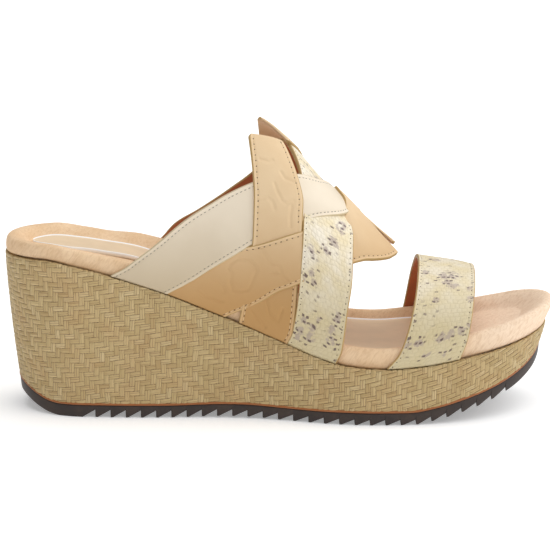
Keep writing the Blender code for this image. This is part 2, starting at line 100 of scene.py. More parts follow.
# Plan: width as a share of BALL_WIDTH, and the middle line's shift to the inner side, likewise.
# draft is how far the wedge's foot is drawn in under its top edge, as a share of SIDE_DRAFT.
PLAN = columns("along width middle draft", [
    (0.00, 0.705, 0.000, 1.00),
    (0.08, 0.712, 0.000, 0.70),
    (0.16, 0.728, 0.000, 0.30),
    (0.26, 0.716, -0.006, 0.10),
    (0.37, 0.684, -0.018, 0.10),
    (0.44, 0.706, -0.020, 0.10),
    (0.51, 0.786, -0.021, 0.10),
    (0.60, 0.928, -0.023, 0.10),
    (0.68, 0.994, -0.016, 0.10),
    (0.75, 1.000, -0.004, 0.10),
    (0.82, 1.000, 0.006, 0.12),
    (0.90, 1.000, 0.020, 0.22),
    (1.00, 1.000, 0.070, 0.45),
])
PLAN_ROUND = {"heel": 0.14, "toe": 0.28}
HEEL_SQUARENESS = 2.15
TOE_SQUARENESS = 2.10

# Heights of the wedge's top edge: heel is the share of the drop from heel to ball, toe of TOE_RISE.
TOP_LINE = columns("along heel toe", [
    (0.00, 1.000, 0.00),
    (0.074, 1.000, 0.00),
    (0.135, 0.945, 0.00),
    (0.195, 0.862, 0.00),
    (0.296, 0.688, 0.00),
    (0.367, 0.535, 0.00),
    (0.437, 0.385, 0.00),
    (0.508, 0.235, 0.00),
    (0.568, 0.112, 0.00),
    (0.629, 0.024, 0.00),
    (0.689, 0.000, 0.00),
    (0.760, 0.000, 0.09),
    (0.830, 0.000, 0.29),
    (0.891, 0.000, 0.48),
    (0.941, 0.000, 0.68),
    (1.00, 0.000, 1.00),
])

# Heights of the outsole's underside: heel is a share of HEEL_BEVEL, arch of ARCH_RISE, toe of TOE_SPRING.
TREAD_LINE = columns("along heel arch toe", [
    (0.000, 1.00, 0.0, 0.00),
    (0.024, 0.70, 0.0, 0.00),
    (0.049, 0.38, 0.0, 0.00),
    (0.077, 0.10, 0.0, 0.00),
    (0.100, 0.00, 0.0, 0.00),
    (0.296, 0.00, 0.0, 0.00),
    (0.417, 0.00, 1.0, 0.00),
    (0.558, 0.00, 0.0, 0.00),
    (0.740, 0.00, 0.0, 0.00),
    (0.786, 0.00, 0.0, 0.07),
    (0.841, 0.00, 0.0, 0.21),
    (0.892, 0.00, 0.0, 0.37),
    (0.946, 0.00, 0.0, 0.59),
    (0.981, 0.00, 0.0, 0.80),
    (1.000, 0.00, 0.0, 1.00),
])

# Footbed heights over the wedge's top edge, as shares of RIM_HEIGHT: the rim on the outer and the
# inner side, which climbs at the arch, and the floor that the insole pad lies on. flare is how far
# the footbed's side leans out round the toe, as a share of TOE_FLARE, and slope how far in from its
# side the floor begins, as a share of RIM_SLOPE.
BED = columns("along outer inner floor flare slope", [
    (0.00, 0.82, 0.82, 0.24, 0.0, 0.48),
    (0.08, 0.80, 0.80, 0.27, 0.0, 0.72),
    (0.17, 0.86, 0.92, 0.50, 0.0, 0.92),
    (0.25, 1.03, 1.34, 0.75, 0.0, 0.88),
    (0.35, 1.06, 1.55, 0.77, 0.0, 0.75),
    (0.45, 1.04, 1.42, 0.69, 0.0, 0.62),
    (0.55, 1.00, 1.12, 0.56, 0.0, 0.52),
    (0.65, 0.99, 0.99, 0.46, 0.0, 0.48),
    (0.78, 1.04, 1.04, 0.43, 0.0, 0.48),
    (0.87, 1.12, 1.12, 0.54, 0.0, 0.48),
    (0.92, 1.18, 1.20, 0.66, 0.3, 0.48),
    (0.96, 1.22, 1.26, 0.76, 0.7, 0.48),
    (1.00, 1.24, 1.26, 0.84, 1.0, 0.48),
])

# The last under the straps: height of its crown over the rim as a share of INSTEP_HEIGHT, and the
# crown's shift to the inner side as a share of BALL_WIDTH.
LAST = columns("along crown middle", [
    (0.175, 1.400, 0.020),
    (0.296, 1.220, 0.020),
    (0.397, 1.085, 0.022),
    (0.452, 1.000, 0.025),
    (0.523, 0.893, 0.030),
    (0.578, 0.763, 0.035),
    (0.634, 0.645, 0.038),
    (0.693, 0.505, 0.040),
    (0.721, 0.437, 0.040),
    (0.753, 0.373, 0.040),
    (0.777, 0.351, 0.040),
    (0.831, 0.301, 0.040),
    (0.860, 0.269, 0.040),
    (0.921, 0.200, 0.040),
])
LAST_FULLNESS = 2.1


def curve(table, column, share):
    """A table's column at shares of the length, on a smooth curve that never swings past its rows."""
    x, y = table["along"], table[column]
    share = np.clip(np.asarray(share, float), x[0], x[-1])
    rise = np.diff(y) / np.diff(x)
    product = rise[:-1] * rise[1:]
    middle = np.where(product > 0, 2 * product / np.where(product > 0, rise[:-1] + rise[1:], 1.0), 0.0)
    slope = np.concatenate([rise[:1], middle, rise[-1:]])
    i = np.clip(np.searchsorted(x, share, side="right") - 1, 0, len(x) - 2)
    h = x[i + 1] - x[i]
    t = (share - x[i]) / h
    return (y[i] * (1 + 2 * t) * (1 - t) ** 2 + y[i + 1] * t * t * (3 - 2 * t)
            + h * t * (1 - t) * (slope[i] * (1 - t) - slope[i + 1] * t))


def top_height(share):
    """Height of the wedge's top edge."""
    return (BALL_HEIGHT + (HEEL_HEIGHT - BALL_HEIGHT) * curve(TOP_LINE, "heel", share)
            + TOE_RISE * curve(TOP_LINE, "toe", share))


def tread_height(share):
    """Height of the outsole's underside, before the teeth are cut."""
    return sum(size * curve(TREAD_LINE, column, share)
               for column, size in (("heel", HEEL_BEVEL), ("arch", ARCH_RISE), ("toe", TOE_SPRING)))


def rounding(share):
    """How much of the full width is left near the round ends of the plan."""
    share = np.asarray(share, float)
    heel = np.clip(1 - share / PLAN_ROUND["heel"], 0, 1)
    toe = np.clip((share - 1) / PLAN_ROUND["toe"] + 1, 0, 1)
    return ((1 - heel ** HEEL_SQUARENESS) ** (1 / HEEL_SQUARENESS)
            * (1 - toe ** TOE_SQUARENESS) ** (1 / TOE_SQUARENESS))


def edge_y(share, side):
    """The wedge's top edge in plan, side -1 for the outer and +1 for the inner side."""
    half = BALL_WIDTH / 2 * curve(PLAN, "width", share) * rounding(share)
    return BALL_WIDTH * curve(PLAN, "middle", share) + side * half


def plan_ring():
    """The wedge's top edge as a closed ring: outer side from heel to toe, then back on the inner."""
    turn = np.linspace(0, math.pi, PLAN_STEPS + 1)
    share = (1 - np.cos(turn)) / 2
    outer = np.stack([share * LENGTH, edge_y(share, -1)], 1)
    inner = np.stack([share * LENGTH, edge_y(share, 1)], 1)[-2:0:-1]
    return np.concatenate([outer, inner])


RING = plan_ring()
MIDDLE_SHIFT = (RING[:, 1].max() + RING[:, 1].min()) / 2
REACH = LENGTH + TOE_FLARE - LEDGE
RING_SIDE = np.where(np.arange(len(RING)) <= PLAN_STEPS, -1, 1)


def inset_ring(distance):
    """The plan ring drawn in along its normals, by one distance or by one for each point."""
    along = np.roll(RING, -1, 0) - np.roll(RING, 1, 0)
    along /= np.linalg.norm(along, axis=1)[:, None]
    inward = np.stack([-along[:, 1], along[:, 0]], 1)
    return RING + inward * np.broadcast_to(distance, len(RING))[:, None]


def lifted(ring, height):
    """A flat ring with a height for each point."""
    return np.column_stack([ring, np.broadcast_to(height, len(ring))])


def share_of(ring):
    return ring[:, 0] / LENGTH


def level(inset, height):
    """The plan ring drawn in by inset, at given heights or at those worked out from its shares."""
    ring = inset_ring(inset)
    return lifted(ring, height(share_of(ring)) if callable(height) else height)


def wall(share):
    """The wedge's wall: how far its foot is drawn in, and the heights of its foot and its top."""
    foot = SIDE_DRAFT * curve(PLAN, "draft", share)
    return foot, tread_height(share) + OUTSOLE_THICKNESS, top_height(share)


def rim_height(share, side):
    """Height of the footbed's rim on one side of the foot."""
    rim = np.where(side < 0, curve(BED, "outer", share), curve(BED, "inner", share))
    return top_height(share) + RIM_HEIGHT * rim


def floor_height(share):
    """Height of the footbed's floor, which the insole pad lies on."""
    return top_height(share) + RIM_HEIGHT * curve(BED, "floor", share)


# The straps lie on a last. A turn round it is 0 at the outer rim, 0.5 on the crown, 1 at the inner
# rim, and -1 or 2 where the wall meets the wedge.
TURNS = np.linspace(-1, 2, 241)


def last_point(share, around):
    share, around = np.broadcast_arrays(share, around)
    side = np.where(around < 0.5, -1.0, 1.0)
    wall_y = edge_y(share, side) - side * (LEDGE - CLEARANCE)
    foot_z = top_height(share) + 2 * CLEARANCE
    rim_z = rim_height(share, side) - RIM_ROUNDING
    crown_z = (top_height(share) + RIM_HEIGHT + INSTEP_HEIGHT * curve(LAST, "crown", share))
    crown_y = BALL_WIDTH * curve(LAST, "middle", share)
    turn = math.pi * np.clip(around, 0, 1)
    power = 2 / LAST_FULLNESS
    reach = np.abs(np.cos(turn)) ** power
    rise = np.abs(np.sin(turn)) ** power
    below = np.where(side < 0, np.clip(-around, 0, 1), np.clip(around - 1, 0, 1))
    y = crown_y + (wall_y - crown_y) * reach
    z = rim_z + (crown_z - rim_z) * rise - (rim_z - foot_z) * below
    return np.stack([share * LENGTH, y, z], -1)


def last_normal(share, around):
    """Unit normal of the last, pointing away from the foot."""
    step = 1e-3
    along = last_point(share + step, around) - last_point(share - step, around)
    round_it = last_point(share, around + step) - last_point(share, around - step)
    out = np.cross(along, round_it)
    out /= np.linalg.norm(out, axis=-1)[..., None]
    wall = (around < 0) | (around > 1)
    flat = out * np.array([1.0, 1.0, 0.0])
    flat /= np.linalg.norm(flat, axis=-1)[..., None]
    return np.where(wall[..., None], flat, out)


# Straps: a row for each station from the outer side inwards, along its share of the strap's length,
# with the place of the rear and of the front edge, as a share of the shoe's length and of the
# girth there, and how many layers each edge lies over the last.
STRAP_COLUMNS = "along rear_x rear_girth front_x front_girth rear_lift front_lift"

LONG_STRAP = columns(STRAP_COLUMNS, [
    (0.000, 0.199, 0.0000, 0.302, 0.0000, 0.0, 0.3),
    (0.038, 0.225, 0.0208, 0.327, 0.0249, 0.0, 0.7),
    (0.067, 0.245, 0.0423, 0.345, 0.0439, 0.0, 0.8),
    (0.118, 0.280, 0.0832, 0.374, 0.0790, 0.0, 0.9),
    (0.202, 0.342, 0.1699, 0.416, 0.1308, 0.0, 0.9),
    (0.250, 0.381, 0.2210, 0.442, 0.1655, 0.0, 0.7),
    (0.280, 0.405, 0.2540, 0.458, 0.1874, 0.0, 0.0),
    (0.359, 0.465, 0.3329, 0.511, 0.2573, 0.0, 0.0),
    (0.437, 0.527, 0.4046, 0.563, 0.3319, 0.5, 0.5),
    (0.533, 0.573, 0.4821, 0.621, 0.4282, 1.1, 1.35),
    (0.637, 0.591, 0.5761, 0.646, 0.5585, 1.1, 1.35),
    (0.738, 0.575, 0.6939, 0.641, 0.6893, 1.0, 1.0),
    (0.858, 0.545, 0.8367, 0.628, 0.8415, 0.8, 0.7),
    (0.965, 0.530, 0.9589, 0.618, 0.9623, 0.2, 0.2),
    (1.000, 0.519, 1.0000, 0.608, 1.0000, 0.0, 0.0),
])

CROSS_STRAP = columns(STRAP_COLUMNS, [
    (0.000, 0.519, 0.0000, 0.608, 0.0000, 0.0, 0.0),
    (0.031, 0.529, 0.0333, 0.618, 0.0368, 0.2, 0.2),
    (0.129, 0.542, 0.1539, 0.627, 0.1379, 1.0, 0.9),
    (0.217, 0.545, 0.2576, 0.634, 0.2377, 1.0, 1.0),
    (0.302, 0.545, 0.3355, 0.634, 0.3499, 0.3, 0.9),
    (0.400, 0.540, 0.4214, 0.618, 0.4590, 0.0, 0.0),
    (0.503, 0.517, 0.5068, 0.577, 0.5357, 0.3, 0.3),
    (0.572, 0.496, 0.5748, 0.557, 0.6164, 0.0, 0.0),
    (0.650, 0.465, 0.6739, 0.530, 0.7067, 0.0, 0.0),
    (0.730, 0.411, 0.7713, 0.486, 0.7797, 0.0, 0.3),
    (0.815, 0.352, 0.8545, 0.430, 0.8501, 0.0, 0.9),
    (0.881, 0.306, 0.9107, 0.387, 0.9000, 0.0, 0.9),
    (0.936, 0.275, 0.9589, 0.363, 0.9500, 0.0, 0.8),
    (1.000, 0.230, 1.0000, 0.324, 1.0000, 0.0, 0.3),
])

REAR_TONGUE = columns(STRAP_COLUMNS, [
    (0.000, 0.431, 0.0000, 0.521, 0.0000, 0.0, 0.0),
    (0.067, 0.436, 0.0314, 0.531, 0.0334, 0.0, 0.0),
    (0.305, 0.447, 0.1232, 0.540, 0.1717, 0.0, 0.0),
    (0.487, 0.457, 0.2042, 0.545, 0.2691, 0.7, 0.2),
    (0.660, 0.458, 0.2833, 0.544, 0.3470, 1.0, 0.9),
    (0.803, 0.454, 0.3437, 0.531, 0.4039, 1.0, 1.1),
    (0.925, 0.448, 0.3922, 0.515, 0.4433, 1.0, 1.3),
    (1.000, 0.444, 0.4192, 0.502, 0.4678, 1.0, 1.4),
])

FRONT_TONGUE = columns(STRAP_COLUMNS, [
    (0.000, 0.285, 0.0000, 0.407, 0.0000, 0.0, 0.0),
    (0.069, 0.312, 0.0254, 0.435, 0.0282, 0.0, 0.0),
    (0.118, 0.330, 0.0456, 0.455, 0.0480, 0.0, 0.0),
    (0.197, 0.362, 0.0925, 0.478, 0.0758, 0.2, 0.4),
    (0.299, 0.410, 0.1430, 0.508, 0.1164, 0.5, 0.9),
    (0.355, 0.439, 0.1680, 0.527, 0.1370, 0.5, 1.0),
    (0.395, 0.459, 0.1850, 0.538, 0.1508, 0.7, 1.0),
    (0.484, 0.510, 0.2380, 0.562, 0.1818, 1.0, 0.8),
    (0.562, 0.549, 0.2890, 0.589, 0.2174, 0.5, 0.1),
    (0.647, 0.585, 0.3572, 0.618, 0.2562, 0.1, 0.0),
    (0.738, 0.614, 0.4185, 0.645, 0.2910, 0.2, 0.0),
    (0.785, 0.617, 0.4520, 0.658, 0.3080, 1.4, 0.0),
    (0.840, 0.612, 0.4944, 0.675, 0.3270, 2.1, 0.0),
    (0.925, 0.597, 0.5351, 0.702, 0.3720, 2.1, 0.2),
    (1.000, 0.604, 0.5624, 0.720, 0.4400, 2.1, 0.5),
])

TOE_STRAP = columns(STRAP_COLUMNS, [
    (0.000, 0.697, 0.0000, 0.829, 0.0000, 0.0, 0.0),
    (0.067, 0.719, 0.0453, 0.841, 0.0611, 0.0, 0.0),
    (0.185, 0.741, 0.1666, 0.852, 0.1647, 0.0, 0.0),
    (0.345, 0.754, 0.3271, 0.861, 0.3299, 0.0, 0.0),
    (0.536, 0.760, 0.5245, 0.865, 0.5308, 0.0, 0.0),
    (0.697, 0.758, 0.6911, 0.865, 0.7034, 0.0, 0.0),
    (0.827, 0.752, 0.8290, 0.861, 0.8364, 0.0, 0.0),
    (0.939, 0.741, 0.9519, 0.851, 0.9368, 0.0, 0.0),
    (1.000, 0.728, 1.0000, 0.842, 1.0000, 0.0, 0.0),
])
# How the inner side's tongues differ: their lift, how far each tip leans ahead, and how much
# farther its rear and front edge reach over the crown.
INNER_REAR = {"lift": 0.8, "lean": 0.016, "rear": 0.042, "front": 0.036}
INNER_FRONT = {"lift": 0.6, "lean": 0.0, "rear": -0.075, "front": -0.02}


def far_side(table, change):
    """The same strap on the inner side, with its lift and its tip changed."""
    other = dict(table)
    for edge in ("rear", "front"):
        other[edge + "_x"] = table[edge + "_x"] + change["lean"] * table["along"]
        other[edge + "_girth"] = 1 - table[edge + "_girth"] - change[edge] * table["along"]
        other[edge + "_lift"] = table[edge + "_lift"] * change["lift"]
    return other


ORIGIN = np.array([REACH / 2, MIDDLE_SHIFT, 0.0])


# Meshes
def spread(bm, points):
    """A grid whose corners lie at an array of points, with the row and column of each corner."""
    rows, steps = points.shape[0] - 1, points.shape[1] - 1
    verts = bmesh.ops.create_grid(bm, x_segments=steps, y_segments=rows, size=0.5)["verts"]
    column = np.rint([(vert.co.x + 0.5) * steps for vert in verts]).astype(int)
    row = np.rint([(vert.co.y + 0.5) * rows for vert in verts]).astype(int)
    for vert, point in zip(verts, points[row, column] - ORIGIN):
        vert.co = point
    return verts, row, column


def chart(bm, verts, u, v, name):
    """A UV map with one pair of numbers for each corner, in the units its material reads."""
    layer = bm.loops.layers.uv.new(name)
    for vert, a, b in zip(verts, u, v):
        for loop in vert.link_loops:
            loop[layer].uv = (a, b)


def finish(name, bm, finishes, node, merge=MERGE):
    """The finished piece: doubles merged, faces outwards, riding on the shoe in its node's place."""
    bmesh.ops.remove_doubles(bm, verts=bm.verts, dist=merge)
    bmesh.ops.recalc_face_normals(bm, faces=bm.faces)
    bmesh.ops.dissolve_degenerate(bm, dist=merge, edges=bm.edges)
    mesh = bpy.data.meshes.new(name)
    bm.to_mesh(mesh)
    bm.free()
    piece = bpy.data.objects.new(name, mesh)
    for each in finishes:
        mesh.materials.append(each)
    mesh.shade_smooth()
    bpy.context.scene.collection.objects.link(piece)
    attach(piece, "root")
    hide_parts(node)


def closed_rings(bm, rings):
    """Skin through rings of the same number of points, from the underside round to the top."""
    rings = np.array(rings)
    spread(bm, np.concatenate([rings, rings[:, :1]], axis=1))


def ladder(bm, ring, lanes):
    """A face that closes a ring, laid across from its outer to its inner side."""
    half = len(ring) // 2
    inner = np.concatenate([ring[:1], ring[half:][::-1]])
    lane = np.linspace(0, 1, lanes + 1)[:, None, None]
    spread(bm, ring[: half + 1] * (1 - lane) + inner * lane)


# Outsole
def outline_at(inset, x, side):
    """Where a ring drawn in by inset passes x on one side: its y and the share of its ring point."""
    ring = inset_ring(inset)
    keep = np.flatnonzero(RING_SIDE == side)
    if side > 0:
        keep = np.concatenate([[PLAN_STEPS], keep, [0]])[::-1]
    xs = np.maximum.accumulate(ring[keep, 0])
    return np.interp(x, xs, ring[keep, 1]), np.interp(x, xs, share_of(RING)[keep])


# One groove from the land behind it to the upright face of the next tooth
TOOTH_ROWS = [
    (-0.060, 0.00),
    (-0.015, 0.00),
    (0.030, 0.00),
    (0.10, 0.07),
    (0.30, 0.275),
    (0.50, 0.48),
    (0.70, 0.68),
    (0.90, 0.885),
    (0.970, 0.975),
    (0.993, 0.97),
    (1.003, 0.90),
    (1.006, 0.12),
    (1.018, 0.02),
    (1.040, 0.00),
]
SOLE_EDGE = 0.0005


def tooth_stations():
    """Places along the sole with the depth of the tread there, each tooth with eased corners."""
    tooth = columns("along depth", TOOTH_ROWS)
    along, depth = [], []
    count = int((TREAD_SPAN["end"] - TREAD_SPAN["start"]) * LENGTH / TREAD_PITCH)
    for k in range(count):
        start = TREAD_SPAN["start"] * LENGTH + k * TREAD_PITCH + TREAD_LAND
        along.extend(start + (TREAD_PITCH - TREAD_LAND) * tooth["along"])
        depth.extend(TREAD_DEPTH * (TREAD_FADE[0] - TREAD_FADE[1] * start / LENGTH) * tooth["depth"])
    return np.array(along), np.array(depth)


def make_outsole(finishes):
    """Rubber outsole with the sawtooth tread cut across it."""
    high = SIDE_DRAFT * curve(PLAN, "draft", share_of(RING))
    low = high + TREAD_DRAFT
    ends = inset_ring(low)[:, 0].min(), inset_ring(low)[:, 0].max()
    along, depth = tooth_stations()
    plain = ends[0] + (ends[1] - ends[0]) * (1 - np.cos(np.linspace(0, math.pi, 110))) / 2
    xs = np.concatenate([plain[plain < along[0]], along, plain[plain > along[-1]]])
    depths = np.interp(xs, along, depth, left=0, right=0)
    e = SOLE_EDGE
    # Each line of the section: how far in, how far up, and whether up counts from the sole's top
    section = [
        (low + 9 * e, 0.0, 0.0),
        (low + 2 * e, 0.0, 0.0),
        (low + 0.7 * e, 0.15 * e, 0.0),
        (low + 0.1 * e, 0.9 * e, 0.0),
        (low - 0.1 * e, 2.5 * e, 0.0),
        (high + 0.05 * e, -1.6 * e, 1.0),
        (high + 0.3 * e, -0.5 * e, 1.0),
        (high + 1.1 * e, 0.0, 1.0),
        (high + 4.5 * e, 0.0, 1.0),
    ]
    rings = []
    for side, order in ((-1, section), (1, section[::-1])):
        for inset, up, top in order:
            reach = inset_ring(inset)[:, 0]
            own = np.interp(xs, (ends[0], along[0], along[-1], ends[1]),
                            (reach.min(), along[0], along[-1], reach.max()))
            y, share = outline_at(inset, own, side)
            bottom = tread_height(share) + depths
            ceiling = tread_height(share) + OUTSOLE_THICKNESS - CLEARANCE
            rings.append(np.column_stack([own, y, bottom + (ceiling - bottom) * top + up]))
    bm = bmesh.new()
    spread(bm, np.array(rings + rings[:1]))
    finish("rubber_outsole", bm, finishes, "outsole")


# Raffia wrap
WRAP_COLUMNS = 620
WRAP_ROWS = 118
LIP_ROWS = 8
STRAND = {"across": 0.00238, "up": 0.00226}
WEAVE_RELIEF = 0.00042
WRAP_LIP = LEDGE + 0.0006
# How far the woven rows have climbed, in metres, at shares of the length
ROW_CLIMB = columns("along rise", [
    (0.00, 0.0000),
    (0.10, 0.0008),
    (0.25, 0.0040),
    (0.50, 0.0115),
    (0.70, 0.0200),
    (0.85, 0.0310),
    (1.00, 0.0470),
])


def side_line(side, count):
    """The wedge's top edge on one side in equal steps from heel to toe: share, place, inward, arc."""
    share = (1 - np.cos(np.linspace(0, math.pi, 4001))) / 2
    line = np.stack([share * LENGTH, edge_y(share, side)], 1)
    arc = np.concatenate([[0], np.cumsum(np.linalg.norm(np.diff(line, axis=0), axis=1))])
    even = np.linspace(0, arc[-1], count + 1)
    spot = np.stack([np.interp(even, arc, line[:, k]) for k in (0, 1)], 1)
    run = np.gradient(spot, axis=0)
    run /= np.linalg.norm(run, axis=1)[:, None]
    run[0], run[-1] = (0.0, side), (0.0, -side)
    inward = np.stack([side * run[:, 1], -side * run[:, 0]], 1)
    return np.interp(even, arc, share), spot, inward, even


def weave_height(u, v):
    """Relief of a two-over-two-under twill of flat strands, 0 to 1, at places in strand widths."""
    column, row = np.floor(u), np.floor(v)
    fu, fv = u - column, v - row
    step = np.mod(column + row, 4)
    flat = step < 2
    across = np.where(flat, fv, fu)
    along = (np.mod(step, 2) + np.where(flat, fu, fv)) / 2
    crown = 1 - np.abs(2 * across - 1) ** 3.2
    arch = 1 - 0.85 * np.abs(2 * along - 1) ** 5
    return crown ** 0.6 * arch


def make_wrap(name, side, finishes):
    """One half of the woven wrap, from the outsole up the wall and over the ledge."""
    share, spot, inward, arc = side_line(side, WRAP_COLUMNS)
    foot, low, high = wall(share)
    lip = np.linspace(0, 1, LIP_ROWS + 1)[1:]
    levels, ways = [], []
    for up in np.linspace(0, 1, WRAP_ROWS + 1):
        flat = spot + inward * (foot * (1 - up) ** DRAFT_CURVE)[:, None]
        levels.append(np.column_stack([flat, low + (high - low) * up]))
        lean = np.clip((up - 0.985) / 0.015, 0, 1) * 0.7
        ways.append(np.column_stack([-inward * (1 - lean), np.full(len(share), lean)]))
    for part in lip:
        flat = spot + inward * (WRAP_LIP * part)
        drop = 0.0009 * np.clip((part - 0.82) / 0.18, 0, 1)
        levels.append(np.column_stack([flat, top_height(flat[:, 0] / LENGTH) - drop]))
        ways.append(np.column_stack([-inward * 0.15, np.full(len(share), 1.0)]))
    levels, ways = np.array(levels), np.array(ways)
    ways /= np.linalg.norm(ways, axis=2)[..., None]
    height = levels[..., 2].copy()
    height[WRAP_ROWS + 1 :] = high + WRAP_LIP * lip[:, None]
    s = arc * -side / STRAND["across"] + np.zeros_like(height)
    h = (height - curve(ROW_CLIMB, "rise", share)) / STRAND["up"]
    u = s + (0.16 * np.sin(0.21 * s + 0.9 * np.sin(0.17 * h)) + 0.10 * np.sin(0.63 * h + 0.31 * s + 1.3))
    v = h + (0.16 * np.sin(0.19 * s - 0.37 * h + 0.5) + 0.09 * np.sin(0.47 * s + 0.52 * h + 2.0))
    calm = np.clip((arc[-1] - arc) / 0.0015, 0, 1)
    border = np.clip((levels[..., 2] - low) / 0.0006, 0, 1) * calm
    relief = WEAVE_RELIEF * (weave_height(u, v) - 0.55) * border

    bm = bmesh.new()
    verts, row, column = spread(bm, levels + ways * relief[..., None])
    chart(bm, verts, u[row, column], v[row, column], "weave")
    finish(name, bm, finishes, "wedge")


def make_core(finishes):
    """Plain block inside the wrap, which closes it under the footbed."""
    foot, low, high = wall(share_of(RING))
    rings = [level(foot + 0.0007, low + 0.0001)]
    for up in np.linspace(0, 1, 6)[1:-1]:
        rings.append(level(foot * (1 - up) ** DRAFT_CURVE + 0.0008, low + (high - low) * up))
    rings.append(level(0.0012, lambda share: top_height(share) - 0.0010))
    rings.append(level(LEDGE + RECESS_SLOPE, lambda share: top_height(share) - RECESS_DEPTH))
    bm = bmesh.new()
    closed_rings(bm, rings)
    ladder(bm, rings[0], 2)
    ladder(bm, rings[-1], 2)
    finish("wedge_core", bm, finishes, "wedge")


# The edging's section: how far out of the wall's foot, and how far up from it
FOOT_LINE = ((-0.0006, -0.0004), (0.00010, -0.0004), (0.00028, -0.0001), (0.00026, 0.0003),
             (0.0001, 0.0006), (-0.0006, 0.0006))


def make_foot_line(finishes):
    """The narrow amber line of glue and edging where the wrap meets the outsole."""
    foot, low, _ = wall(share_of(RING))
    rings = [level(foot - out, low + up) for out, up in FOOT_LINE]
    bm = bmesh.new()
    closed_rings(bm, rings + rings[:1])
    finish("foot_line", bm, finishes, "wedge")


# Footbed and insole
# How far the suede reaches out over the ledge at heel and toe, how it bulges, and its turned foot
END_FLARE = 0.0024
SUEDE_BULGE = 0.00025
SUEDE_FOOT = 0.0005


def make_footbed(finishes):
    """Suede-covered footbed: a padded rim all round and a dished floor."""
    share = share_of(RING)
    ends = END_FLARE * (np.clip(1 - share / 0.13, 0, 1) + np.clip((share - 0.86) / 0.13, 0, 1)) ** 0.8
    flare = TOE_FLARE * curve(BED, "flare", share)
    rim = rim_height(share, RING_SIDE)
    base = top_height(share_of(inset_ring(LEDGE))) + 2 * CLEARANCE
    low, tall = base + SUEDE_FOOT, rim - RIM_ROUNDING - base - SUEDE_FOOT
    rings = [
        level(LEDGE + RECESS_SLOPE + CLEARANCE, lambda place: top_height(place) - RECESS_DEPTH + CLEARANCE),
        level(LEDGE + 0.0007, base - 0.0003),
        level(LEDGE + 0.0002, base),
    ]
    for part in np.linspace(0, 1, 8):
        out = ends + flare * part ** 1.3 + SUEDE_BULGE * math.sin(math.pi * part)
        rings.append(level(LEDGE - out, low + tall * part))
    flare = flare + ends
    for turn in np.linspace(0, math.pi / 2, 7)[1:]:
        back = RIM_ROUNDING * (1 - math.cos(turn))
        rings.append(level(LEDGE + back - flare, rim - RIM_ROUNDING * (1 - math.sin(turn))))
    rings.append(level(LEDGE + RIM_CREST - flare, rim))
    slope = RIM_SLOPE * curve(BED, "slope", share) - RIM_CREST
    for part in np.linspace(0, 1, 12)[1:]:
        ease = part ** RIM_HOLLOW * (1 - 0.35 * part ** 3) + 0.35 * part ** 3
        rings.append(level(
            LEDGE + RIM_CREST + slope * part - flare * (1 - part),
            lambda place: rim_height(place, RING_SIDE) * (1 - ease) + floor_height(place) * ease,
        ))
    bm = bmesh.new()
    closed_rings(bm, rings)
    ladder(bm, rings[-1], 24)
    ladder(bm, rings[0], 2)
    finish("suede_footbed", bm, finishes, "footbed")


def pad_ring(border):
    """The insole's outline, drawn in by border."""
    along = (RING[:, 0] - RING[:, 0].min()) / np.ptp(RING[:, 0])
    share = PAD_SPAN["start"] + (PAD_SPAN["end"] - PAD_SPAN["start"]) * along
    edge = LEDGE + RIM_SLOPE * curve(BED, "slope", share) + PAD_BORDER
    outer, inner = edge_y(share, -1) + edge, edge_y(share, 1) - edge
    heel = np.clip(1 - along / PAD_ROUND["heel"], 0, 1) ** PAD_SQUARENESS
    toe = np.clip((along - 1) / PAD_ROUND["toe"] + 1, 0, 1) ** PAD_SQUARENESS
    half = (inner - outer) / 2 * ((1 - heel) * (1 - toe)) ** (1 / PAD_SQUARENESS)
    half = np.maximum(half - border, 0)
    return np.stack([share * LENGTH, (outer + inner) / 2 + RING_SIDE * half], 1), floor_height(share)


# The pad's cut edge: how far in from its outline, and how far over the footbed's floor
PAD_EDGE = ((0.0, 0.0003), (0.0, 0.0014), (0.0001, 0.0020), (0.0003, 0.0023), (0.0008, 0.0023),
            (0.0012, 0.0019))


def make_insole(finishes):
    """Smooth leather insole with a pale cut edge."""
    rings = []
    for border, up in PAD_EDGE:
        ring, floor = pad_ring(border)
        rings.append(lifted(ring, floor + up))
    bm = bmesh.new()
    closed_rings(bm, rings)
    for face in bm.faces:
        face.material_index = 1
    ladder(bm, rings[-1], 14)
    ladder(bm, rings[0], 2)
    finish("insole_pad", bm, finishes, "insole")


# Straps
SHARES = np.linspace(0, 1, 501)
GIRTHS = np.linspace(0, 1, 901)


def turn_table():
    """The turn round the last for even shares of the length and of the girth."""
    line = last_point(SHARES[:, None], TURNS)
    arc = np.cumsum(np.linalg.norm(np.diff(line, axis=1), axis=2), axis=1)
    arc = np.concatenate([np.zeros((len(SHARES), 1)), arc], 1)
    return np.array([np.interp(GIRTHS, row / row[-1], TURNS) for row in arc])


TURN_TABLE = turn_table()


def turn_near(share, girth):
    """The turn at a share of the length and of the girth, read between the table's places."""
    x = np.clip(share, 0, 1) * (len(SHARES) - 1)
    y = np.clip(girth, 0, 1) * (len(GIRTHS) - 1)
    i = np.minimum(x.astype(int), len(SHARES) - 2)
    j = np.minimum(y.astype(int), len(GIRTHS) - 2)
    a, b = x - i, y - j
    low = TURN_TABLE[i, j] * (1 - b) + TURN_TABLE[i, j + 1] * b
    high = TURN_TABLE[i + 1, j] * (1 - b) + TURN_TABLE[i + 1, j + 1] * b
    return low * (1 - a) + high * a


# Rounding of a strap's edges and of its free end
EDGE_ROUND = 0.00055
END_ROUND = 0.0009
# Rounding of a tongue's corners, the embossed furrows and the hem's line
TIP_CORNER = 0.0024
FURROW = {"depth": 0.00034, "width": 0.00075}
HEM = {"depth": 0.00016, "width": 0.0005, "inset": 0.0020}


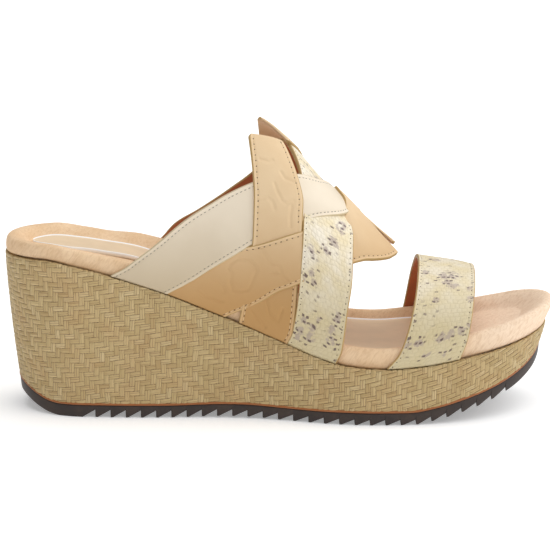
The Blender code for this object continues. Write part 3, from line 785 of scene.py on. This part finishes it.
def strap_surface(table, t, lane, height):
    """Points of a strap at places along and across it, height over its underside."""
    def across(kind):
        return curve(table, "rear_" + kind, t) * (1 - lane) + curve(table, "front_" + kind, t) * lane

    share = across("x")
    around = turn_near(share, across("girth"))
    lift = np.maximum(across("lift"), 0) * (STRAP_THICKNESS - STRAP_BITE)
    return last_point(share, around) + last_normal(share, around) * (lift + height)[..., None]


def strap_rule(table, count=400):
    """For even places along a strap: the length of its middle line so far, and its width there."""
    t = np.linspace(0, 1, count + 1)
    rails = [strap_surface(table, t, np.full_like(t, lane), np.zeros_like(t)) for lane in (0.0, 0.5, 1.0)]
    arc = np.concatenate([[0], np.cumsum(np.linalg.norm(np.diff(rails[1], axis=0), axis=1))])
    width = np.linalg.norm(rails[1] - rails[0], axis=1) + np.linalg.norm(rails[2] - rails[1], axis=1)
    return t, arc, width


def strap_section(lanes):
    """One turn round a strap's section: place across 0 to 1, pull in from the edge, height, face."""
    turn = np.linspace(0, math.pi / 2, 4)
    top, r = STRAP_THICKNESS, EDGE_ROUND
    rows = [(k / lanes, r * (1 - 2 * k / lanes), top, 0) for k in range(lanes + 1)]
    rows += [(1.0, -r * (1 - math.sin(a)), top - r * (1 - math.cos(a)), 1) for a in turn[1:]]
    rows += [(1.0, -r * (1 - math.cos(a)), r * (1 - math.sin(a)), 1) for a in turn[:-1]]
    under = max(6, lanes // 3)
    rows += [(1 - k / under, -r * (1 - 2 * k / under), 0.0, 2) for k in range(under + 1)]
    rows += [(0.0, r * (1 - math.sin(a)), r * (1 - math.cos(a)), 1) for a in turn[1:]]
    rows += [(0.0, r * (1 - math.cos(a)), top - r * (1 - math.sin(a)), 1) for a in turn[:-1]]
    return np.array(rows + rows[:1])


def distance_to(lines, run, over, length, width):
    """Distance from places on a strap to the nearest of some drawn lines."""
    nearest = np.ones_like(run)
    for line in lines:
        drawn = np.array([(t * length, (lane - 0.5) * width) for t, lane in line])
        for start, end in zip(drawn[:-1], drawn[1:]):
            step = end - start
            part = ((run - start[0]) * step[0] + (over - start[1]) * step[1]) / max(step @ step, 1e-12)
            part = np.clip(part, 0, 1)
            away = np.hypot(run - start[0] - part * step[0], over - start[1] - part * step[1])
            nearest = np.minimum(nearest, away)
    return nearest


def make_band(name, table, finishes, node, slot, stations, lanes, lines=(), marks=(), tip=False):
    """A strap of real thickness with rolled edges: skin outside, painted edge, lining inside.

    Lines are embossed furrows and marks are places where its print is darker, both given by their
    shares along and across the strap.
    """
    rule_t, rule_arc, rule_width = strap_rule(table)
    section = strap_section(lanes)
    t = np.linspace(0, 1, stations + 1)
    close = np.ones_like(t)
    if tip:
        back = 1 - END_ROUND / rule_arc[-1] * (1 - np.sin(np.linspace(0, math.pi / 2, 5)))
        t = np.concatenate([np.linspace(0, back[0], stations + 1), back[1:]])
        close = np.sqrt(np.clip(1 - ((t - back[0]) / (1 - back[0])).clip(0, 1) ** 2, 0, 1))
    tt, part = np.meshgrid(t, np.arange(len(section)), indexing="ij")
    lane, pull, height, kind = (section[part, k] for k in range(4))
    width = np.interp(tt, rule_t, rule_width)
    lane = lane + pull / width
    run = np.interp(tt, rule_t, rule_arc)
    over = (lane - 0.5) * width
    if tip:
        round_off = np.clip((run - rule_arc[-1]) / TIP_CORNER + 1, 0, 1)
        lane = 0.5 + (lane - 0.5) * (1 - 2 * TIP_CORNER / width * (1 - np.sqrt(1 - round_off ** 2)))
        over = (lane - 0.5) * width
    rim = np.minimum(lane, 1 - lane) * width
    if lines:
        away = distance_to(lines, run, over, rule_arc[-1], rule_width.mean())
        furrow = FURROW["depth"] * np.exp(-(away / FURROW["width"]) ** 2)
        height = height - np.where((kind == 0) & (rim > 2 * EDGE_ROUND), furrow, 0.0)
    groove = HEM["depth"] * np.exp(-((rim - HEM["inset"]) / HEM["width"]) ** 2)
    height = height - np.where(kind == 0, groove, 0.0)
    middle = STRAP_THICKNESS / 2
    height = middle + (height - middle) * np.interp(tt, t, close)
    dark = np.zeros_like(tt)
    for along, across, reach in marks:
        away = np.hypot(run - along * rule_arc[-1], over - (across - 0.5) * width)
        dark = np.maximum(dark, np.exp(-(away / reach) ** 2))

    bm = bmesh.new()
    verts, ring, station = spread(bm, strap_surface(table, tt, lane, height).swapaxes(0, 1))
    chart(bm, verts, run[station, ring], over[station, ring], "lay")
    chart(bm, verts, dark[station, ring], rim[station, ring], "mark")
    kinds = dict(zip(verts, section[ring, 3].astype(int).tolist()))
    for face in bm.faces:
        both = {kinds[vert] for vert in face.verts}
        face.material_index = 1 if len(both) > 1 else both.pop()
    bmesh.ops.remove_doubles(bm, verts=bm.verts, dist=MERGE)
    bmesh.ops.holes_fill(bm, edges=[edge for edge in bm.edges if edge.is_boundary], sides=0)
    finish(name, bm, finishes, node)


# Stitches: how far apart, how long, wide and tall, and how far inside the strap's edge
SEAM_HOLE = {"pitch": 0.0027, "long": 0.00036, "wide": 0.00030, "tall": 0.00016}
SEAM_THREAD = {"pitch": 0.0027, "long": 0.00100, "wide": 0.00022, "tall": 0.00020}
SEAM_DASH = {"pitch": 0.0021, "long": 0.00062, "wide": 0.00020, "tall": 0.00016}
SEAM_STEPS = {"edge": 600, "end": 300}
SEAM_INSET = {"tan": 0.0020, "snake": 0.0017, "cream": 0.0021}
STITCH_BATCH = 30


def make_stitches(name, lines, size, finishes, node, shift=0.0):
    """A row of stitches on each line: its strap's table, edge or end, inset, first and last place."""
    places = []
    for table, kind, inset, first, last in lines:
        rule_t, rule_arc, rule_width = strap_rule(table)
        if kind == "end":
            lane = np.linspace(first, last, SEAM_STEPS["end"])
            t = np.full_like(lane, 1 - inset / rule_arc[-1])
        else:
            t = np.linspace(first, last, SEAM_STEPS["edge"])
            part = inset / np.interp(t, rule_t, rule_width)
            lane = part if kind == "rear" else 1 - part
        top = STRAP_THICKNESS - HEM["depth"]
        path = strap_surface(table, t, lane, np.full_like(t, top))
        above = strap_surface(table, t, lane, np.full_like(t, top + 0.001)) - path
        arc = np.concatenate([[0], np.cumsum(np.linalg.norm(np.diff(path, axis=0), axis=1))])
        for spot in np.arange(size["pitch"] * (0.5 + shift), arc[-1], size["pitch"]):
            k = int(np.clip(np.searchsorted(arc, spot), 1, len(arc) - 1))
            run = Vector(path[k] - path[k - 1]).normalized()
            up = Vector(above[k]).normalized()
            wide = up.cross(run).normalized()
            axes = Matrix((run * size["long"], wide * size["wide"], up * size["tall"])).transposed()
            places.append(Matrix.Translation(Vector(path[k] - ORIGIN)) @ axes.to_4x4())
    bm = bmesh.new()
    batch = bpy.data.meshes.new(name + "_batch")
    for start in range(0, len(places), STITCH_BATCH):
        part = bmesh.new()
        for matrix in places[start : start + STITCH_BATCH]:
            bmesh.ops.create_uvsphere(part, u_segments=7, v_segments=4, radius=1.0, matrix=matrix)
        part.to_mesh(batch)
        part.free()
        bm.from_mesh(batch)
    bpy.data.meshes.remove(batch)
    finish(name, bm, finishes, node, merge=1e-7)


# Finishes
def operator(operation, swapped=False):
    """A method that adds the Math node of an operation, for a socket on its left or its right."""
    def add(self, *other):
        values = (self, *other)
        return self.paint.maths(operation, *(values[::-1] if swapped else values))

    return add


class Sum:
    """A socket in a sum: an expression on it adds the Math nodes."""

    def __init__(self, paint, socket):
        self.paint, self.socket = paint, socket

    __add__ = __radd__ = operator("ADD")
    __sub__, __rsub__ = operator("SUBTRACT"), operator("SUBTRACT", swapped=True)
    __mul__ = __rmul__ = operator("MULTIPLY")
    __truediv__, __rtruediv__ = operator("DIVIDE"), operator("DIVIDE", swapped=True)
    __mod__, __rmod__ = operator("FLOORED_MODULO"), operator("FLOORED_MODULO", swapped=True)
    __pow__, __abs__, __lt__ = operator("POWER"), operator("ABSOLUTE"), operator("LESS_THAN")
    floor, most = operator("FLOOR"), operator("MAXIMUM")


class Paint:
    """One material: its shader and the nodes that feed it."""

    def __init__(self, name, **sockets):
        self.material = bpy.data.materials.new(name)
        self.material.use_nodes = True
        self.tree = self.material.node_tree
        self.shader = self.tree.nodes["Principled BSDF"]
        for key, value in sockets.items():
            self.put(self.shader.inputs[key.replace("_", " ")], value)

    def put(self, socket, value):
        if isinstance(value, Sum):
            self.tree.links.new(value.socket, socket)
        elif isinstance(value, tuple) and socket.type == "RGBA":
            socket.default_value = (*value[:3], 1.0)
        else:
            socket.default_value = value

    def node(self, kind, settings, values, out=0):
        """A node of any kind: its settings first, then the values or links of its sockets."""
        made = self.tree.nodes.new(kind)
        for key, value in settings.items():
            setattr(made, key, value)
        for key, value in values.items():
            self.put(made.inputs[key], value)
        return Sum(self, made.outputs[out])

    def maths(self, operation, *values):
        return self.node("ShaderNodeMath", {"operation": operation}, dict(enumerate(values)))

    def ease(self, value, low, high, floor=0.0, ceiling=1.0):
        """value mapped smoothly from low..high to floor..ceiling."""
        return self.node("ShaderNodeMapRange", {"interpolation_type": "SMOOTHSTEP"},
                         {0: value, 1: low, 2: high, 3: floor, 4: ceiling})

    def mix(self, share, first, second):
        return self.node("ShaderNodeMix", {"data_type": "RGBA"}, {0: share, 6: first, 7: second}, out=2)

    def chart(self, name):
        """The two numbers of a UV map."""
        return self.split(self.node("ShaderNodeUVMap", {"uv_map": name}, {}))

    def split(self, vector):
        made = self.tree.nodes.new("ShaderNodeSeparateXYZ")
        self.put(made.inputs[0], vector)
        return [Sum(self, socket) for socket in made.outputs]

    def join(self, x, y=0.0, z=0.0):
        return self.node("ShaderNodeCombineXYZ", {}, {0: x, 1: y, 2: z})

    def place(self):
        """Object coordinates, in metres."""
        made = self.tree.nodes.new("ShaderNodeTexCoord")
        return Sum(self, made.outputs["Object"])

    def noise(self, vector, scale, detail=2.0, rough=0.5, twist=0.0):
        return self.node("ShaderNodeTexNoise", {"noise_dimensions": "3D"},
                         {"Vector": vector, "Scale": scale, "Detail": detail, "Roughness": rough,
                          "Distortion": twist})

    def hazard(self, x, y=0.0, z=0.0):
        """A random number, 0 to 1, for each set of whole numbers."""
        return self.node("ShaderNodeTexWhiteNoise", {"noise_dimensions": "3D"}, {0: self.join(x, y, z)})

    def bump(self, height, strength, distance):
        made = self.node("ShaderNodeBump", {}, {"Strength": strength, "Distance": distance, "Height": height})
        self.put(self.shader.inputs["Normal"], made)

    def colour(self, value):
        self.put(self.shader.inputs["Base Color"], value)


def shade(red, green, blue):
    """A colour given as it looks, 0 to 255, as the shader's own numbers."""
    return tuple(((c / 255 + 0.055) / 1.055) ** 2.4 if c > 10 else c / 255 / 12.92 for c in (red, green, blue))


def raffia():
    """Flat straw strands in a twill: fibres lengthwise, each strand its own tint, with painted shade in the
    gaps, where strands tuck under and in their folds.
    """
    paint = Paint("woven_raffia", Roughness=0.58)
    u, v, _ = paint.chart("weave")
    spot = paint.join(u, v, 0.0)
    sway = paint.noise(spot, 0.9, 2.0, 0.5)
    u = u + (sway - 0.5) * 0.16
    v = v + (sway - 0.5) * 0.14
    column, row = u.floor(), v.floor()
    fu, fv = u - column, v - row
    step = (column + row) % 4.0
    flat = step < 1.5
    across = fu + flat * (fv - fu)
    along = fv + flat * (fu - fv)
    run = (step % 2.0 + along) / 2.0
    strand = column + flat * (row - column)
    length = ((column + row) / 4.0).floor()
    tint, other, third = (paint.hazard(strand + start, flat, length) for start in (0.0, 31.5, 7.25))
    edge = abs(2.0 * across - 1.0)
    end = abs(2.0 * run - 1.0)
    ragged = paint.noise(spot, 3.4, 3.0, 0.65)
    # Painted shade in the gaps between strands and where a strand tucks under the next
    gap_shade = paint.ease(edge + (ragged - 0.5) * 0.5, 0.80, 1.04, 0.0, 1.0)
    tuck_shade = paint.ease(end + (ragged - 0.5) * 0.35, 0.86, 1.04, 0.0, 1.0)
    thread = paint.join(run * 0.8 + strand * 3.7, across * 7.0 + strand * 5.1, flat * 4.0 + length)
    fibres = paint.noise(thread, 1.0, 4.0, 0.65)
    # Painted shade along the crease where a strand is folded
    fold = paint.ease(abs(across - 0.32 - third * 0.36), 0.015, 0.075, 1.0, 0.0)
    broad = paint.noise(spot, 0.16, 2.0, 0.5)
    straw = paint.mix(tint, shade(188, 163, 113), shade(204, 180, 131))
    for share, tone in (
        (paint.ease(other, 0.80, 1.0, 0.0, 0.5), (218, 198, 154)),
        (paint.ease(third, 0.82, 1.0, 0.0, 0.45), (172, 142, 93)),
        (paint.ease(broad, 0.42, 0.72, 0.0, 0.35), (196, 158, 108)),
        (paint.ease(fibres, 0.44, 0.64, 0.0, 0.45), (172, 142, 92)),
        # Painted shade in the strands' folds
        (fold * paint.ease(other, 0.15, 0.6, 0.2, 0.7), (138, 104, 60)),
        # Painted shade in the gaps and where strands tuck under
        (gap_shade * (0.55 + flat * 0.38 + tint * 0.07), (80, 52, 26)),
        (tuck_shade * paint.ease(other, 0.0, 1.0, 0.15, 0.60), (116, 84, 46)),
    ):
        straw = paint.mix(share, straw, shade(*tone))
    paint.colour(straw)
    paint.bump((1.0 - edge ** 4.0) * (1.0 - 0.6 * end ** 6.0) + fibres * 0.45 - fold * 0.3, 0.45, 0.0006)
    return paint.material


# The nap's streaks: how many to a metre along, across and through
NAP_SCALE = (260.0, 600.0, 1100.0)


def suede():
    """Peach suede with a short nap that is darker where it was stroked the other way, and painted light making
    it lighter towards the toe.
    """
    paint = Paint("peach_suede", Roughness=0.95, Sheen_Weight=0.35, Sheen_Roughness=0.45)
    paint.put(paint.shader.inputs["Sheen Tint"], shade(255, 226, 196))
    paint.put(paint.shader.inputs["Specular IOR Level"], 0.15)
    spot = paint.place()
    x, y, z = paint.split(spot)
    streak = paint.join(x * 0.6 + z * 0.8, y, z * 0.6 - x * 0.8)
    broad = paint.noise(spot, 70.0, 3.0, 0.55)
    drawn = paint.node("ShaderNodeVectorMath", {"operation": "MULTIPLY"}, {0: streak, 1: NAP_SCALE})
    nap = paint.noise(drawn, 1.0, 4.0, 0.65, 0.8)
    fine = paint.noise(spot, 3600.0, 2.0, 0.6)
    tone = paint.mix(paint.ease(broad, 0.3, 0.7), shade(232, 198, 158), shade(242, 212, 176))
    # Painted light: lighter towards the toe
    tone = paint.mix(paint.ease(x, 0.060, 0.110, 0.0, 0.8), tone, shade(255, 232, 208))
    tone = paint.mix(paint.ease(nap, 0.38, 0.68, 0.0, 0.40), tone, shade(206, 166, 124))
    paint.colour(tone)
    paint.bump(nap * 0.8 + fine * 0.5, 0.30, 0.0004)
    return paint.material


def rubber():
    """Dark brown rubber, satin, with rougher clouds."""
    paint = Paint("dark_rubber")
    spot = paint.place()
    cloud = paint.noise(spot, 90.0, 3.0, 0.6)
    grain = paint.noise(spot, 2200.0, 2.0, 0.5)
    paint.colour(paint.mix(paint.ease(cloud, 0.35, 0.7), shade(46, 34, 29), shade(60, 46, 39)))
    paint.put(paint.shader.inputs["Roughness"], 0.42 + cloud * 0.22)
    paint.bump(grain, 0.15, 0.0002)
    return paint.material


def plain(name, tone, rough, grain=0.0):
    """A smooth finish with a faint cloud of tone and a fine grain."""
    paint = Paint(name, Roughness=rough)
    spot = paint.place()
    cloud = paint.noise(spot, 60.0, 3.0, 0.55)
    dark = tuple(c * 0.90 for c in tone)
    paint.colour(paint.mix(paint.ease(cloud, 0.3, 0.7), dark, tone))
    if grain:
        paint.bump(paint.noise(spot, 1200.0, 3.0, 0.6), grain, 0.0003)
    return paint.material


def smooth_skin(name, tone, cloud_and_shade_tone, rough, grain):
    """A smooth skin, a little darker in clouds, with painted shade along its foot, a painted highlight along
    its edges and a fine grain.
    """
    paint = Paint(name, Roughness=rough)
    spot = paint.place()
    _, _, height = paint.split(spot)
    cloud = paint.noise(spot, 45.0, 3.0, 0.55)
    fine = paint.noise(spot, 1300.0, 3.0, 0.6)
    skin = paint.mix(paint.ease(cloud, 0.35, 0.7, 0.0, 0.15), tone, cloud_and_shade_tone)
    # Painted shade: darker towards its foot
    skin = paint.mix(paint.ease(height, 0.048, 0.104, 1.0, 0.0), skin, cloud_and_shade_tone)
    _, rim, _ = paint.chart("mark")
    # Painted highlight: lighter near its edges, fading out by the hem line
    skin = paint.mix(paint.ease(rim, 0.0009, 0.0021, 0.30, 0.0), skin, tuple(min(1.0, c * 1.15) for c in tone))
    paint.colour(skin)
    paint.bump(fine + cloud * 0.6, grain, 0.0003)
    return paint.material


# A printed scale's size, and how far its rows and lanes wander, in scales
SCALE = {"long": 0.0023, "wide": 0.0025}
SCALE_WANDER = (1.8, 1.4)


def snake():
    """Cream leather printed with small scales in rows, and clusters of grey dots, with painted shade towards
    its foot.
    """
    paint = Paint("snake_print", Roughness=0.5)
    u, v, _ = paint.chart("lay")
    dark, _, _ = paint.chart("mark")
    spot = paint.join(u, v, 0.0)
    sway = paint.noise(spot, 130.0, 2.0, 0.5)
    other_sway = paint.noise(paint.join(v, u, 0.7), 130.0, 2.0, 0.5)
    row = u / SCALE["long"] + (sway - 0.5) * SCALE_WANDER[0]
    lane = v / SCALE["wide"] + (row.floor() % 2.0) * 0.5 + (other_sway - 0.5) * SCALE_WANDER[1]
    fr, fl = row - row.floor(), lane - lane.floor()
    edge = abs(2.0 * fr - 1.0).most(abs(2.0 * fl - 1.0))
    luck = paint.hazard(row.floor(), lane.floor())
    luck_two = paint.hazard(row.floor() + 11.5, lane.floor())
    clouds = paint.noise(spot, 90.0, 2.0, 0.5)
    fine = paint.noise(spot, 1500.0, 3.0, 0.6)
    tone = paint.mix(paint.ease(clouds, 0.35, 0.68), shade(246, 236, 216), shade(238, 222, 184))
    # Painted shade: darker towards its foot
    _, _, height = paint.split(paint.place())
    tone = paint.mix(paint.ease(height, 0.040, 0.084, 0.85, 0.0), tone, shade(206, 190, 148))
    seam = paint.ease(edge + (fine - 0.5) * 0.3, 0.72, 1.0, 0.0, 1.0)
    tone = paint.mix(seam * paint.ease(luck_two, 0.1, 0.9, 0.04, 0.34), tone, shade(188, 170, 132))
    blot = paint.ease(paint.noise(spot, 420.0, 3.0, 0.6) + dark * 0.34, 0.66, 0.80)
    tone = paint.mix(blot * paint.ease(dark, 0.15, 0.7, 0.0, 0.55), tone, shade(160, 140, 140))
    dash = paint.ease(fr, 0.50, 0.62) * paint.ease(abs(2.0 * fl - 1.0), 0.45, 0.75, 1.0, 0.0)
    chance = luck * 1.06 + dark * 0.62
    tone = paint.mix(dash * paint.ease(chance, 0.84, 1.10, 0.0, 0.88), tone, shade(98, 78, 74))
    paint.colour(tone)
    paint.bump((1.0 - edge ** 3.0) * 1.2 + fine * 0.3, 0.38, 0.0004)
    return paint.material


# Mesh fineness along and across the straps
STRAP_MESH, TONGUE_MESH, TOE_MESH = (190, 46), (190, 76), (170, 60)
# Furrows embossed in the tan skins: each a line of places, as shares along and across the strap
REAR_FURROWS = (
    ((0.86, 0.23), (0.85, 0.40), (0.86, 0.50)),
    ((0.80, 0.62), (0.77, 0.68), (0.76, 0.82)),
    ((0.74, 0.45), (0.70, 0.48), (0.655, 0.57), (0.64, 0.66), (0.66, 0.80)),
    ((0.66, 0.12), (0.67, 0.28), (0.65, 0.38), (0.61, 0.44)),
    ((0.63, 0.76), (0.58, 0.74), (0.53, 0.75)),
    ((0.166, 0.42), (0.102, 0.53), (0.089, 0.73), (0.149, 0.78)),
    ((0.08, 0.15), (0.05, 0.32), (0.03, 0.50)),
)
FRONT_FURROWS = (
    ((0.263, 0.23), (0.307, 0.20), (0.335, 0.29), (0.33, 0.42), (0.313, 0.52), (0.251, 0.67), (0.205, 0.76),
     (0.175, 0.71), (0.166, 0.62), (0.191, 0.50), (0.232, 0.38), (0.240, 0.29), (0.263, 0.23)),
    ((0.413, 0.15), (0.404, 0.28), (0.396, 0.45), (0.411, 0.52), (0.39, 0.67)),
    ((0.359, 0.62), (0.386, 0.67), (0.384, 0.82)),
    ((0.168, 0.35), (0.162, 0.45), (0.135, 0.58)),
    ((0.09, 0.30), (0.07, 0.50), (0.08, 0.72)),
)
# Dark places in the snake print: share along, share across, reach in metres
CROSS_MARKS = (
    (0.311, 0.72, 0.0035), (0.328, 0.80, 0.0030), (0.267, 0.63, 0.0030), (0.272, 0.57, 0.0025),
    (0.236, 0.47, 0.0028), (0.214, 0.18, 0.0030), (0.168, 0.23, 0.0024), (0.155, 0.28, 0.0024),
    (0.149, 0.10, 0.0016), (0.071, 0.20, 0.0024), (0.087, 0.45, 0.0020), (0.110, 0.80, 0.0032),
    (0.046, 0.13, 0.0030), (0.060, 0.37, 0.0026), (0.077, 0.72, 0.0030), (0.027, 0.12, 0.0030),
    (0.039, 0.35, 0.0030), (0.050, 0.75, 0.0032), (0.36, 0.60, 0.0040), (0.40, 0.30, 0.0050),
    (0.44, 0.55, 0.0050), (0.56, 0.30, 0.0040), (0.66, 0.70, 0.0040), (0.75, 0.35, 0.0045),
    (0.84, 0.60, 0.0040), (0.93, 0.40, 0.0045),
)
TOE_MARKS = (
    (0.093, 0.03, 0.0034), (0.097, 0.23, 0.0030), (0.106, 0.55, 0.0032), (0.110, 0.68, 0.0032),
    (0.120, 0.84, 0.0034), (0.133, 0.96, 0.0028), (0.386, 0.14, 0.0024), (0.363, 0.47, 0.0042),
    (0.379, 0.60, 0.0044), (0.338, 0.52, 0.0036), (0.315, 0.62, 0.0034), (0.245, 0.35, 0.0024),
    (0.050, 0.42, 0.0024), (0.040, 0.70, 0.0022), (0.245, 0.94, 0.0026), (0.30, 0.93, 0.0026),
    (0.52, 0.30, 0.0040), (0.60, 0.70, 0.0042), (0.72, 0.35, 0.0042), (0.84, 0.62, 0.0042),
    (0.93, 0.25, 0.0036),
)

# The shoe
woven, soft, dark_rubber, print_skin = raffia(), suede(), rubber(), snake()
# Each skin's second colour is its cloud tone and its painted shade along the foot
cream = smooth_skin("cream_leather", shade(238, 224, 202), shade(194, 174, 140), 0.46, 0.10)
nubuck = smooth_skin("tan_nubuck", shade(231, 203, 163), shade(192, 148, 92), 0.72, 0.22)
lining = plain("strap_lining", shade(186, 108, 68), 0.5, 0.1)
pale_lining = plain("tongue_lining", shade(214, 174, 132), 0.6, 0.1)
edge_paint = plain("edge_paint", shade(190, 156, 100), 0.55, 0.1)
folded_edge = plain("folded_edge", shade(214, 196, 160), 0.5, 0.1)
pad_skin = plain("pad_leather", shade(240, 212, 175), 0.42, 0.1)
pad_edge = plain("pad_edge", shade(255, 252, 248), 0.4)
amber = plain("amber_edging", shade(164, 98, 48), 0.45)
dark_thread = plain("dark_thread", shade(84, 62, 46), 0.7)
pale_thread = plain("pale_thread", shade(228, 200, 156), 0.6)
grey_thread = plain("grey_thread", shade(136, 128, 112), 0.7)
inner_rear, inner_front = far_side(REAR_TONGUE, INNER_REAR), far_side(FRONT_TONGUE, INNER_FRONT)

make_outsole([dark_rubber])
make_wrap("raffia_wrap_outer", -1, [woven])
make_wrap("raffia_wrap_inner", 1, [woven])
make_core([amber])
make_foot_line([amber])
make_footbed([soft])
make_insole([pad_skin, pad_edge])
make_band("cream_strap", LONG_STRAP, [cream, folded_edge, lining], "upper", "cream_leather", *STRAP_MESH)
make_band("snake_cross_strap", CROSS_STRAP, [print_skin, edge_paint, lining], "upper", "scaled_leather",
          *STRAP_MESH, marks=CROSS_MARKS)
for name, table, lines in (
    ("tan_rear_tongue", REAR_TONGUE, REAR_FURROWS),
    ("tan_rear_tongue_inner", inner_rear, REAR_FURROWS),
    ("tan_front_tongue", FRONT_TONGUE, FRONT_FURROWS),
    ("tan_front_tongue_inner", inner_front, FRONT_FURROWS),
):
    make_band(name, table, [nubuck, edge_paint, pale_lining], "upper", "tan_nubuck", *TONGUE_MESH,
              lines=lines, tip=True)
make_band("snake_toe_strap", TOE_STRAP, [print_skin, edge_paint, lining], "front_strap", "scaled_leather",
          *TOE_MESH, marks=TOE_MARKS)

# Each seam on a tan tongue: the edge that it follows, and where along it starts and stops
REAR_SEAMS = (("rear", 0.0, 0.11), ("rear", 0.47, 0.975), ("front", 0.0, 0.28), ("front", 0.54, 0.975),
              ("end", 0.10, 0.90))
FRONT_SEAMS = (("rear", 0.0, 0.62), ("front", 0.0, 0.97))
WHOLE_SEAMS = (("rear", 0.0, 1.0), ("front", 0.0, 1.0))


def seams(tables, rows, inset):
    """The same seams on several straps, as make_stitches reads them."""
    return [(table, kind, inset, first, last) for table in tables for kind, first, last in rows]


tan = seams((REAR_TONGUE, inner_rear), REAR_SEAMS, SEAM_INSET["tan"])
tan += seams((FRONT_TONGUE, inner_front), FRONT_SEAMS, SEAM_INSET["tan"])
make_stitches("tan_needle_holes", tan, SEAM_HOLE, [dark_thread], "upper")
make_stitches("tan_thread", tan, SEAM_THREAD, [pale_thread], "upper", shift=0.5)
for name, table, inset, size, thread, node, slot in (
    ("snake_needle_holes", CROSS_STRAP, "snake", SEAM_HOLE, dark_thread, "upper", "scaled_leather"),
    ("toe_needle_holes", TOE_STRAP, "snake", SEAM_HOLE, dark_thread, "front_strap", "scaled_leather"),
    ("cream_thread", LONG_STRAP, "cream", SEAM_DASH, grey_thread, "upper", "cream_leather"),
):
    make_stitches(name, seams([table], WHOLE_SEAMS, SEAM_INSET[inset]), size, [thread], node)


# Floor, light and camera
FLOOR = {"size": 20.0, "tone": 0.93, "glow": 0.30}
SKY_STRENGTH = 0.26
# One soft lamp: the way to it, its power, and how wide a patch of the sky it fills
KEY = {"toward": (0.44, 0.04, 0.90), "power": 2.75, "spread": math.radians(100)}
CAMERA_AIM = Vector((-0.0015, 0.0, 0.061))
CAMERA_RISE = math.radians(12)
CAMERA_DISTANCE = 1.236
CAMERA_LENS = 171.95
CAMERA_SENSOR = 36.0


def make_floor():
    bm = bmesh.new()
    bmesh.ops.create_grid(bm, x_segments=1, y_segments=1, size=FLOOR["size"])
    mesh = bpy.data.meshes.new("floor")
    bm.to_mesh(mesh)
    bm.free()
    floor = bpy.data.objects.new("floor", mesh)
    paint = Paint("floor_white", Roughness=0.9)
    paint.colour((FLOOR["tone"],) * 3)
    paint.put(paint.shader.inputs["Emission Color"], (1.0, 1.0, 1.0))
    paint.put(paint.shader.inputs["Emission Strength"], FLOOR["glow"])
    mesh.materials.append(paint.material)
    bpy.context.scene.collection.objects.link(floor)


def make_studio():
    world = bpy.data.worlds.new("studio")
    world.use_nodes = True
    sky = world.node_tree.nodes["Background"]
    sky.inputs["Color"].default_value = (1.0, 1.0, 1.0, 1.0)
    sky.inputs["Strength"].default_value = SKY_STRENGTH
    bpy.context.scene.world = world
    light = bpy.data.lights.new("key", "SUN")
    light.energy, light.angle = KEY["power"], KEY["spread"]
    lamp = bpy.data.objects.new("key", light)
    lamp.rotation_mode = "QUATERNION"
    lamp.rotation_quaternion = Vector(KEY["toward"]).to_track_quat("Z", "Y")
    bpy.context.scene.collection.objects.link(lamp)


def make_camera():
    data = bpy.data.cameras.new("camera")
    data.lens, data.sensor_width = CAMERA_LENS, CAMERA_SENSOR
    camera = bpy.data.objects.new("camera", data)
    back = Vector((0.0, -math.cos(CAMERA_RISE), math.sin(CAMERA_RISE)))
    camera.location = CAMERA_AIM + back * CAMERA_DISTANCE
    camera.rotation_euler = (math.pi / 2 - CAMERA_RISE, 0.0, 0.0)
    bpy.context.scene.collection.objects.link(camera)
    bpy.context.scene.camera = camera
    bpy.context.scene.view_settings.view_transform = "Standard"


make_floor()
make_studio()
make_camera()
